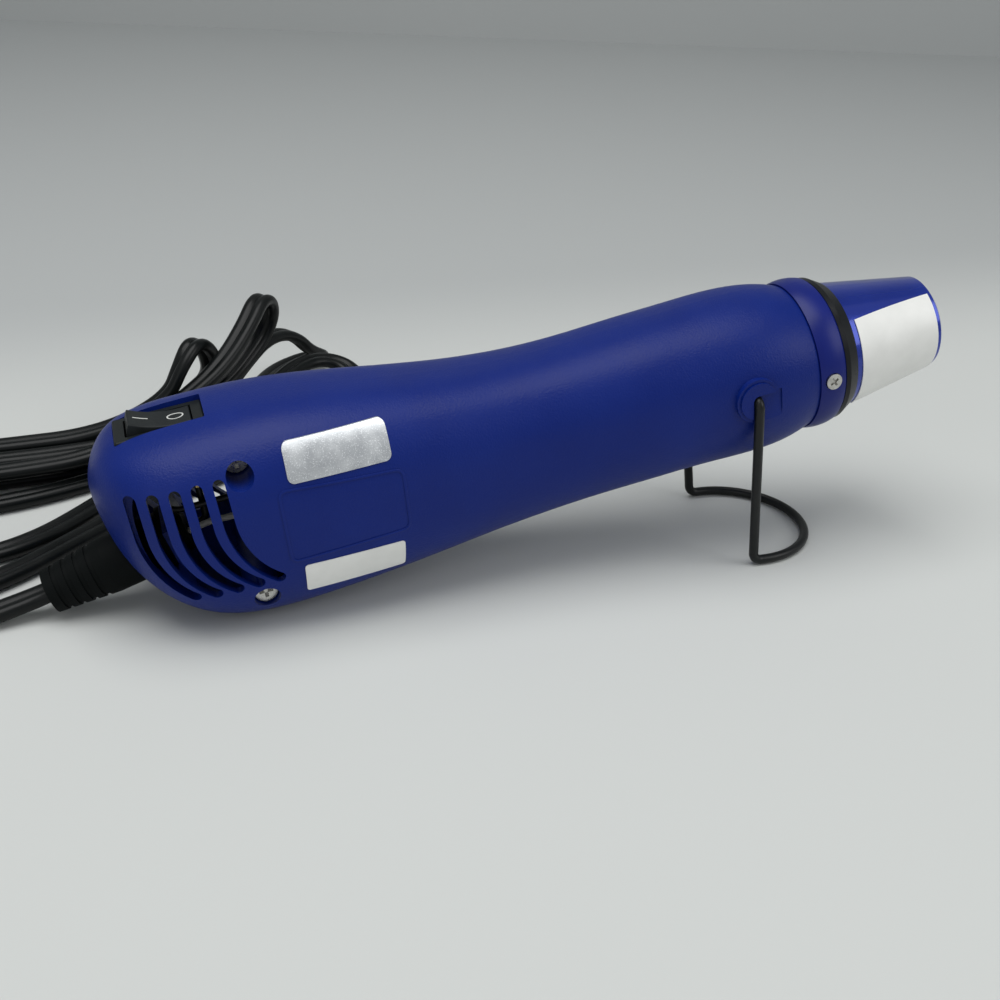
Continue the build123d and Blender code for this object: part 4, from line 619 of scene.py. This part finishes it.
# Stage, lamps and camera
stageLook = {"floor": (0.60, 0.615, 0.595), "wall": (0.44, 0.455, 0.45), "size": 4.0, "floorAt": -0.0002,
             "wallAt": (0.3, 0.9, 1.0), "wallTurn": -18, "rough": 0.85, "cloud": 3, "shade": 0.96,
             "paleEnd": 0.10, "greyFrom": 0.24}


def stagePlane(name, centre, turn, colour):
    bpy.ops.object.select_all(action="DESELECT")
    bpy.ops.mesh.primitive_plane_add(size=stageLook["size"], location=centre, rotation=turn)
    plane = bpy.context.active_object
    plane.name = name
    material = bpy.data.materials.new(name)
    material.use_nodes = True
    nodes = material.node_tree.nodes
    link = material.node_tree.links.new
    shader = nodes["Principled BSDF"]
    shader.inputs["Roughness"].default_value = stageLook["rough"]
    coords = nodes.new("ShaderNodeTexCoord")
    cloud = nodes.new("ShaderNodeTexNoise")
    cloud.inputs["Scale"].default_value = stageLook["cloud"]
    cloudTint = nodes.new("ShaderNodeValToRGB")
    cloudTint.color_ramp.elements[0].color = (*[value * stageLook["shade"] for value in colour], 1)
    cloudTint.color_ramp.elements[1].color = (*colour, 1)
    link(coords.outputs["Object"], cloud.inputs["Vector"])
    link(cloud.outputs["Fac"], cloudTint.inputs["Fac"])
    # The pale floor goes over into grey behind the object
    position = nodes.new("ShaderNodeSeparateXYZ")
    fade = nodes.new("ShaderNodeMapRange")
    fade.interpolation_type = "SMOOTHSTEP"
    fade.inputs["From Min"].default_value = stageLook["paleEnd"]
    fade.inputs["From Max"].default_value = stageLook["greyFrom"]
    mix = nodes.new("ShaderNodeMix")
    mix.data_type = "RGBA"
    mix.inputs["B"].default_value = (*stageLook["wall"], 1)
    link(coords.outputs["Object"], position.inputs["Vector"])
    link(position.outputs["Y"], fade.inputs["Value"])
    link(fade.outputs["Result"], mix.inputs["Factor"])
    link(cloudTint.outputs["Color"], mix.inputs["A"])
    link(mix.outputs["Result"], shader.inputs["Base Color"])
    plane.data.materials.append(material)


stagePlane("tableTop", (0, 0, stageLook["floorAt"]), (0, 0, 0), stageLook["floor"])
wallTurn = (math.radians(90), 0, math.radians(stageLook["wallTurn"]))
stagePlane("backWall", stageLook["wallAt"], wallTurn, stageLook["wall"])

room = {"colour": (0.80, 0.83, 0.86, 1), "strength": 0.45}
world = bpy.data.worlds.new("paleRoom")
bpy.context.scene.world = world
world.use_nodes = True
world.node_tree.nodes["Background"].inputs["Color"].default_value = room["colour"]
world.node_tree.nodes["Background"].inputs["Strength"].default_value = room["strength"]

lamps = {
    "overhead": {"place": (-0.15, -0.05, 0.95), "aim": (0, 0.02, 0.03), "size": 0.8, "power": 7.0},
    "window": {"place": (0.75, -0.55, 0.60), "aim": (0, 0, 0.04), "size": 0.6, "power": 2.5},
    "fill": {"place": (-0.65, -0.80, 0.45), "aim": (-0.04, 0, 0.03), "size": 0.7, "power": 0.8},
}
for name, lamp in lamps.items():
    light = bpy.data.lights.new(name, "AREA")
    light.energy = lamp["power"]
    light.size = lamp["size"]
    holder = bpy.data.objects.new(name, light)
    bpy.context.scene.collection.objects.link(holder)
    holder.location = lamp["place"]
    beam = Vector(lamp["aim"]) - Vector(lamp["place"])
    holder.rotation_euler = beam.to_track_quat("-Z", "Y").to_euler()

camera = {"place": (-0.097033, -0.286204, 0.173689), "right": (0.95409, -0.29757, 0.03421),
          "up": (0.10835, 0.44934, 0.88677), "forward": (0.27925, 0.84235, -0.46095),
          "lens": 46.8, "sensor": 36, "near": 0.01}
eye = bpy.data.objects.new("camera", bpy.data.cameras.new("camera"))
bpy.context.scene.collection.objects.link(eye)
eye.data.sensor_width = camera["sensor"]
eye.data.lens = camera["lens"]
eye.data.clip_start = camera["near"]
axes = Matrix((camera["right"], camera["up"], [-value for value in camera["forward"]])).transposed()
eye.matrix_world = Matrix.Translation(camera["place"]) @ axes.to_4x4()
bpy.context.scene.camera = eye
bpy.context.scene.view_settings.view_transform = "Standard"
print("stage, lamps and camera set")
